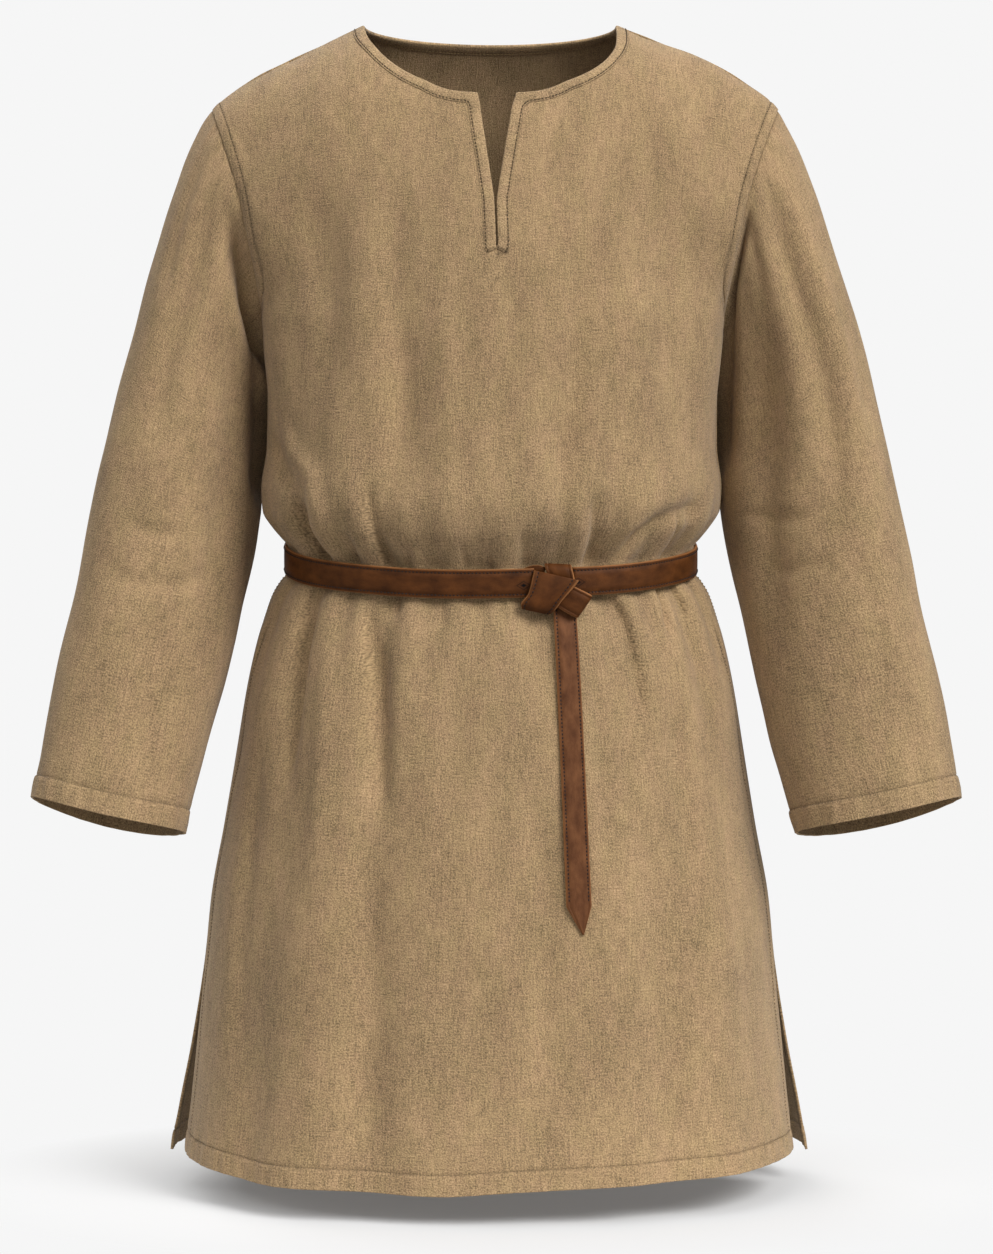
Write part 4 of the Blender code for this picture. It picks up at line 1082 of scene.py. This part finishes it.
def add_leather(name, node, left, right, finish, toward=None):
    """A strap between its left and right edges, bevelled. It returns its two stitch lines."""
    middle, across = (left + right) / 2, (right - left) / 2
    along = np.gradient(middle, axis=0)
    out = unit(np.cross(along, across))
    if toward is not None:
        out *= np.sign((out * toward).sum(1, keepdims=True))
    points, strap = [], []
    for place, cross, way, at in zip(middle, across, out, run_along(middle)):
        for share, height in STRAP_PROFILE:
            points.append(place + cross * share + way * height * STRAP_THICKNESS / 2)
            strap.append((at * MM, share * BELT_WIDTH / 2 * MM, abs(share)))
    faces = tube(len(middle), len(STRAP_PROFILE))
    if float((np.cross(along[0], across[0]) * out[0]).sum()) > 0:
        faces = [face[::-1] for face in faces]
    made = object_from(name, points, faces, finish, [("strap", strap)])
    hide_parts(node)
    raised = middle + out * STRAP_DIP_HEIGHT * STRAP_THICKNESS / 2
    return [(raised + across * sign * STRAP_DIP, out) for sign in (-1, 1)]


def edges_of(rows, count):
    """Left and right edge of a stretch of strap in fine points."""
    table = [(e.left_x, e.left_y, e.left_z, e.right_x, e.right_y, e.right_z) for e in rows]
    fine = smooth_rows(table, count)
    return fine[:, :3], fine[:, 3:]


def belt_line():
    """Bearings and middle of the belt from its right end around the back to its left end."""
    bearing = np.linspace(BELT_RIGHT_END, 360 + BELT_LEFT_END, BELT_ROWS)
    return bearing, strap_on_body(bearing, BELT_LEVEL + 0 * bearing)


def add_belt_strap():
    """The strap around the waist, slightly uneven in height as worn."""
    bearing, middle = belt_line()
    half = np.array([0, 0, BELT_WIDTH / 2])
    middle[:, 2] += 0.5 * np.sin(np.radians(bearing * 3 + 40))
    middle[:, 2] += 0.3 * np.sin(np.radians(bearing * 7))
    return add_leather("belt_leather", "belt", middle + half, middle - half, strap_leather,
                       middle * np.array([1, 1, 0]))


def tail_edge(column):
    """One edge of the hanging end, which lies on the skirt and narrows to its tip."""
    points = []
    for row in TAIL:
        height = row.level - body("sag", row.level)
        across = getattr(row, column) - read(LEAN, "height", "shift", height)
        bearing = np.degrees(np.arcsin(across / body("half_width", row.level)))
        points.append(strap_on_body(bearing, row.level))
    tip = np.linspace(points[-2], points[-1], TAIL_ROWS // 6)[1:]
    return np.vstack([smooth_rows(points[:-1], TAIL_ROWS), tip])


def add_knot():
    """The four stretches of strap that show at the knot, and the hanging end."""
    front = np.array([[0, -1.0, 0]])
    add_leather("knot_wrap_leather", "knot_wrap", *edges_of(KNOT_WRAP, 36), leather)
    lines = add_leather("knot_front_leather", "knot_front", *edges_of(KNOT_FRONT, 24),
                        leather, front)
    add_leather("knot_corner_leather", "knot_corner", *edges_of(KNOT_CORNER, 20), leather, front)
    add_leather("knot_tuck_leather", "knot_tuck", *edges_of(KNOT_TUCK, 10), leather, front)
    tail = add_leather("tail_leather", "belt_tail", tail_edge("left"), tail_edge("right"),
                       tail_leather, front)
    end = TAIL_ROWS - 2
    return lines + [(points[:end], ways[:end]) for points, ways in tail]


class Tree:
    """The nodes of one material. Inputs are numbers, colours or outputs of other nodes."""

    def __init__(self, name):
        self.material = bpy.data.materials.new(name)
        self.material.use_nodes = True
        self.nodes = self.material.node_tree.nodes
        self.links = self.material.node_tree.links
        self.shader = self.nodes["Principled BSDF"]

    def fill(self, node, inputs):
        """Give a node's inputs their values, or link them to outputs of other nodes."""
        for key, value in inputs.items():
            if isinstance(value, bpy.types.NodeSocket):
                self.links.new(value, node.inputs[key])
            else:
                node.inputs[key].default_value = value

    def add(self, kind, inputs):
        """A node with its inputs filled; gives its outputs."""
        made = self.nodes.new("ShaderNode" + kind)
        self.fill(made, inputs)
        return made.outputs

    def attribute(self, name):
        """The vectors that a mesh carries under a name."""
        made = self.nodes.new("ShaderNodeAttribute")
        made.attribute_name = name
        return made.outputs["Vector"]

    def texture(self, vector, scale, detail=3.0, roughness=0.6):
        """Noise over a vector stretched by a scale for each axis."""
        placed = self.add("Mapping", {"Vector": vector, "Scale": scale})["Vector"]
        return self.add("TexNoise", {"Vector": placed, "Scale": 1.0, "Detail": detail,
                                     "Roughness": roughness})["Fac"]

    def spread(self, value, low, high, to_low, to_high):
        """A value that runs from low to high, made to run between two other limits."""
        return self.add("MapRange", {"Value": value, "From Min": low, "From Max": high,
                                     "To Min": to_low, "To Max": to_high})["Result"]

    def math(self, kind, a, b=0.0):
        made = self.nodes.new("ShaderNodeMath")
        made.operation = kind
        self.fill(made, {0: a, 1: b})
        return made.outputs["Value"]

    def vector_math(self, kind, inputs):
        made = self.nodes.new("ShaderNodeVectorMath")
        made.operation = kind
        self.fill(made, inputs)
        return made.outputs

    def mix(self, a, b, share, kind="MIX"):
        """One colour over another by a share."""
        made = self.nodes.new("ShaderNodeMix")
        made.data_type = "RGBA"
        made.blend_type = kind
        self.fill(made, {"A": a, "B": b, "Factor": share})
        return made.outputs["Result"]

    def bump(self, height, strength, distance):
        return self.add("Bump", {"Height": height, "Strength": strength,
                                 "Distance": distance})["Normal"]


# Layers of the weave's unevenness: scale of the noise around the body and along it for each
# metre, its detail and roughness, half the range of the noise that counts, and its strength.
Layer = namedtuple("Layer", "scale detail roughness half_range strength")
WARP = Layer((650, 60, 0), 3.0, 0.6, 0.2, 0.20)
WEFT = Layer((90, 650, 0), 3.0, 0.6, 0.2, 0.13)
FLECK = Layer((860, 660, 0), 2.0, 0.6, 0.16, 0.38)
MOTTLE = Layer((30, 9, 0), 4.0, 0.6, 0.2, 0.16)
PATCH = Layer((170, 110, 0), 3.0, 0.7, 0.2, 0.10)


def add_layer(tree, vector, total, layer):
    """One more layer on the sum of the layers before it."""
    value = tree.texture(vector, layer.scale, layer.detail, layer.roughness)
    value = tree.spread(value, 0.5 - layer.half_range, 0.5 + layer.half_range,
                        -layer.strength, layer.strength)
    return tree.math("ADD", total, value)


def linen_material(name, colour):
    """Undyed plain weave: slubs along both threads, flecks, mottling and a fine bump."""
    tree = Tree(name)
    vector = tree.attribute("cloth")
    fine = 0.0
    for layer in (WARP, WEFT, FLECK, MOTTLE):
        fine = add_layer(tree, vector, fine, layer)
    shade = tree.math("ADD", add_layer(tree, vector, fine, PATCH), 1.0)
    # Painted shade: the cloth's colour is darkened along stitch lines, seam grooves and the
    # binding's edges by each point's share of shadow.
    stitch_shade_share = tree.add("SeparateXYZ", {"Vector": vector})["Z"]
    shade = tree.math("MULTIPLY", shade, tree.spread(stitch_shade_share, 0.0, 1.0, 1.0, STITCH_SHADOW))
    grey = tree.add("CombineColor", {"Red": shade, "Green": shade, "Blue": shade})["Color"]
    hue = tree.spread(tree.texture(vector, (55, 26, 0)), 0.35, 0.65, 0.0, 1.0)
    tinge = tree.mix(tuple(a * b for a, b in zip(colour, OLIVE_TINGE)),
                     tuple(a * b for a, b in zip(colour, RED_TINGE)), hue)
    tree.fill(tree.shader, {
        "Base Color": tree.mix(tinge, grey, 1.0, "MULTIPLY"),
        "Normal": tree.bump(fine, 0.55, 0.0009),
        "Roughness": 0.95, "Specular IOR Level": 0.2, "Sheen Weight": 0.12})
    return tree.material


def eyelet_shade(tree, run, across, eyelet):
    """Dark in the hole of a diamond eyelet and on its rim, 1 elsewhere."""
    along = tree.math("ABSOLUTE", tree.math("SUBTRACT", run, eyelet.run * MM))
    aside = tree.math("ABSOLUTE", tree.math("SUBTRACT", across, eyelet.across * MM))
    away = tree.math("ADD", tree.math("MULTIPLY", along, EYELET_SQUAT), aside)
    hole = tree.spread(away, EYELET_HOLE[0] * MM, EYELET_HOLE[1] * MM, 0.0, 1.0)
    rim = tree.math("ABSOLUTE", tree.math("SUBTRACT", away, EYELET_RIM * MM))
    rim = tree.spread(rim, 0.0, EYELET_RIM_WIDTH * MM, EYELET_RIM_SHADE, 1.0)
    return tree.math("MULTIPLY", hole, rim)


def leather_material(name, dark, light, eyelets):
    """Waxed brown leather, mottled, with a fine grain and paler burnished edges."""
    tree = Tree(name)
    vector = tree.attribute("strap")
    parts = tree.add("SeparateXYZ", {"Vector": vector})
    mottle = tree.texture(vector, (55, 90, 0), 4.0)
    grain = tree.texture(vector, (900, 900, 0))
    scuff = tree.spread(tree.texture(vector, (60, 700, 0)), 0.3, 0.6, 0.45, 1.0)
    worn = tree.math("MULTIPLY", tree.spread(parts["Z"], 0.9, 0.985, 0.0, 1.0), scuff)
    colour = tree.mix(dark, light, tree.spread(mottle, 0.3, 0.7, 0.0, 1.0))
    colour = tree.mix(colour, LEATHER_EDGE, worn)
    for eyelet in eyelets:
        shade = eyelet_shade(tree, parts["X"], parts["Y"], eyelet)
        colour = tree.vector_math("SCALE", {0: colour, "Scale": shade})["Vector"]
    tree.fill(tree.shader, {
        "Base Color": colour,
        "Roughness": tree.spread(grain, 0.2, 0.8, 0.50, 0.72),
        "Normal": tree.bump(tree.math("ADD", grain, mottle), 0.35, 0.0005),
        "Specular IOR Level": 0.15})
    return tree.material


def thread_material(name, colour):
    """Matt twisted thread, darker and lighter along its way."""
    tree = Tree(name)
    place = tree.add("TexCoord", {})["Object"]
    tone = tree.texture(place, (300, 300, 300), 2.0)
    dark, light = (tuple(share * c for c in colour[:3]) + (1,) for share in (0.7, 1.25))
    tree.fill(tree.shader, {"Base Color": tree.mix(dark, light, tone), "Roughness": 0.85})
    return tree.material


def paper_material(name, near):
    """Pale paper that shows at one even tone; near the garment it takes the real shadow."""
    tree = Tree(name)
    output = tree.nodes["Material Output"]
    tree.fill(tree.shader, {"Base Color": (PAPER, PAPER, PAPER, 1), "Roughness": 1.0,
                            "Specular IOR Level": 0.0})
    glow = tree.add("Emission", {"Color": (1, 1, 1, 1), "Strength": PAPER_TONE})["Emission"]
    if not near:
        tree.fill(output, {"Surface": glow})
        return tree.material
    place = tree.add("TexCoord", {})["Object"]
    scale = (1 / NEAR_PAPER.half_width, 1 / NEAR_PAPER.half_depth, 0)
    placed = tree.add("Mapping", {"Vector": place, "Scale": scale})["Vector"]
    away = tree.vector_math("LENGTH", {0: placed})["Value"]
    share = tree.spread(away, NEAR_PAPER.inside, 1.0, SHADOW_GLOW, 1.0)
    mixed = tree.add("MixShader", {"Fac": share, 1: tree.shader.outputs["BSDF"], 2: glow})
    tree.fill(output, {"Surface": mixed["Shader"]})
    return tree.material


def stage_object(name, points, faces, finish):
    """A piece of the surroundings, with its points in metres."""
    mesh = bpy.data.meshes.new(name)
    mesh.from_pydata(points, [], faces)
    mesh.materials.append(finish)
    made = bpy.data.objects.new(name, mesh)
    bpy.context.scene.collection.objects.link(made)
    return made


def add_stage():
    """Pale floor and backdrop of one tone, a soft key from the upper right, and the camera."""
    floor = FLOOR_LEVEL * MM
    x, y = NEAR_PAPER.half_width, NEAR_PAPER.half_depth
    corners = [(a * x, b * y, floor) for a, b in ((-1, -1), (1, -1), (1, 1), (-1, 1))]
    stage_object("floor", corners, [(0, 1, 2, 3)], paper_material("floor_paper", True))

    turns, base = BACKDROP_TURNS, floor - BACKDROP_GAP
    points, faces = [(0, 0, base)], []
    for radius, height in BACKDROP:
        for turn in range(turns):
            angle = 2 * math.pi * turn / turns
            points.append((radius * math.cos(angle), radius * math.sin(angle), base + height))
    for turn in range(turns):
        following = (turn + 1) % turns
        faces.append((0, 1 + turn, 1 + following))
        for ring in range(len(BACKDROP) - 1):
            a, b = 1 + ring * turns + turn, 1 + ring * turns + following
            faces.append((a, b, b + turns, a + turns))
    backdrop = stage_object("backdrop", points, faces, paper_material("backdrop_paper", False))
    backdrop.visible_diffuse = False
    backdrop.visible_glossy = False
    backdrop.visible_shadow = False

    for lamp in LAMPS:
        data = bpy.data.lights.new(lamp.name, "SUN")
        data.energy = lamp.power
        data.angle = math.radians(lamp.softness)
        light = bpy.data.objects.new(lamp.name, data)
        level = math.cos(math.radians(lamp.height))
        toward = Vector((level * math.sin(math.radians(lamp.bearing)),
                         -level * math.cos(math.radians(lamp.bearing)),
                         math.sin(math.radians(lamp.height))))
        light.rotation_euler = toward.to_track_quat("Z", "Y").to_euler()
        bpy.context.scene.collection.objects.link(light)

    world = bpy.data.worlds.new("room")
    world.use_nodes = True
    world.node_tree.nodes["Background"].inputs["Color"].default_value = (1, 1, 1, 1)
    world.node_tree.nodes["Background"].inputs["Strength"].default_value = ROOM_LIGHT
    bpy.context.scene.world = world
    bpy.context.scene.view_settings.view_transform = "Standard"

    data = bpy.data.cameras.new("camera")
    data.lens = LENS
    data.sensor_width = 36.0
    data.clip_end = 60.0
    camera = bpy.data.objects.new("camera", data)
    camera.location = CAMERA
    camera.rotation_euler = (CAMERA_TARGET - CAMERA).to_track_quat("-Z", "Y").to_euler()
    bpy.context.scene.collection.objects.link(camera)
    bpy.context.scene.camera = camera


# Colours, light and camera
LINEN_COLOUR = (0.330, 0.224, 0.116, 1)
BINDING_COLOUR = (0.345, 0.236, 0.124, 1)
LEATHER_DARK = (0.043, 0.0125, 0.0018, 1)
LEATHER_LIGHT = (0.112, 0.036, 0.0075, 1)
TAIL_DARK = (0.068, 0.022, 0.0065, 1)
TAIL_LIGHT = (0.165, 0.064, 0.023, 1)
LEATHER_EDGE = (0.34, 0.145, 0.050, 1)
OLIVE_TINGE = (0.99, 1.0, 0.98, 1)
RED_TINGE = (1.02, 0.99, 1.03, 1)
# Eyelets of the strap beside the knot: place along it and below its middle
Eyelet = namedtuple("Eyelet", "run across")
EYELETS = (Eyelet(run_along(belt_line()[1])[-1] - 9.0, 1.9), Eyelet(4.6, 0.6))
EYELET_SQUAT = 0.62
EYELET_HOLE = (1.0, 2.4)
EYELET_RIM = 3.6
EYELET_RIM_WIDTH = 0.9
EYELET_RIM_SHADE = 0.35
# Painted shade: share of the cloth's colour kept on stitch lines and seam grooves.
STITCH_SHADOW = 0.60
# Thread of the cloth's stitches: the raised thread is real, its dark tone is painted shade of the
# stitch holes.
THREAD_WITH_HOLE_SHADE = (0.075, 0.046, 0.020, 1)
PALE_THREAD = (0.42, 0.29, 0.14, 1)
BELT_THREAD = (0.010, 0.004, 0.002, 1)
PAPER = 0.70
PAPER_TONE = 0.922
ROOM_LIGHT = 0.40
SHADOW_GLOW = 0.13
FLOOR_LEVEL = -995.0
NearPaper = namedtuple("NearPaper", "half_width half_depth inside")
NEAR_PAPER = NearPaper(0.50, 0.34, 0.45)
# Backdrop around the floor in metres: radius and height of its rings, and how far it lies
# under the near paper
BACKDROP = ((9.0, 0.0), (9.4, 0.2), (9.6, 1.0), (9.6, 12.0))
BACKDROP_TURNS = 48
BACKDROP_GAP = 0.002
Lamp = namedtuple("Lamp", "name bearing height softness power")
LAMPS = (
    Lamp("key", 46, 39, 30, 3.05),
    Lamp("top", -10, 75, 40, 0.5),
    Lamp("fill", -40, 40, 50, 0.45),
    Lamp("back", -150, 38, 40, 1.1),
)
CAMERA = Vector((0, -5.0, 0.03))
CAMERA_TARGET = Vector((0, 0, -0.497))
LENS = 164.018

linen = linen_material("tunic_linen", LINEN_COLOUR)
binding_linen = linen_material("binding_linen_finish", BINDING_COLOUR)
strap_leather = leather_material("strap_leather_finish", LEATHER_DARK, LEATHER_LIGHT, EYELETS)
leather = leather_material("belt_leather_finish", LEATHER_DARK, LEATHER_LIGHT, ())
tail_leather = leather_material("tail_leather_finish", TAIL_DARK, TAIL_LIGHT, ())
# The cloth's stitches take this dark thread, whose tone is partly painted shade of the stitch
# holes.
thread = thread_material("thread_with_painted_hole_shade", THREAD_WITH_HOLE_SHADE)
pale_thread = thread_material("pale_thread", PALE_THREAD)
belt_thread = thread_material("belt_thread", BELT_THREAD)

front_cloth, front_lines = add_panel("front_cloth", "front_panel", -1, 0.0, 1)
back_cloth, back_lines = add_panel("back_cloth", "back_panel", 1, 180.0, 5)
left_cloth, left_lines = add_sleeve("sleeve_left_cloth", "sleeve_left", 1, RIGHT_CREASES,
                                    RIGHT_SLEEVE_CREASES, 9)
right_cloth, right_lines = add_sleeve("sleeve_right_cloth", "sleeve_right", -1, LEFT_CREASES,
                                      LEFT_SLEEVE_CREASES, 13)
binding_lines, inner_lines = add_binding()
belt_lines = add_belt_strap() + add_knot()

for key, lines in (("front", front_lines), ("back", back_lines), ("sleeve_left", left_lines),
                   ("sleeve_right", right_lines), ("binding", binding_lines)):
    add_stitches(key + "_stitches", lines, thread, 0.95 * WALL / 2 + 0.15)
inner_stitches = add_stitches("inner_binding_stitches", inner_lines, pale_thread, 0.3)
belt_stitches = add_stitches("belt_stitches", belt_lines, belt_thread, 0.4, 1.5)

add_stage()
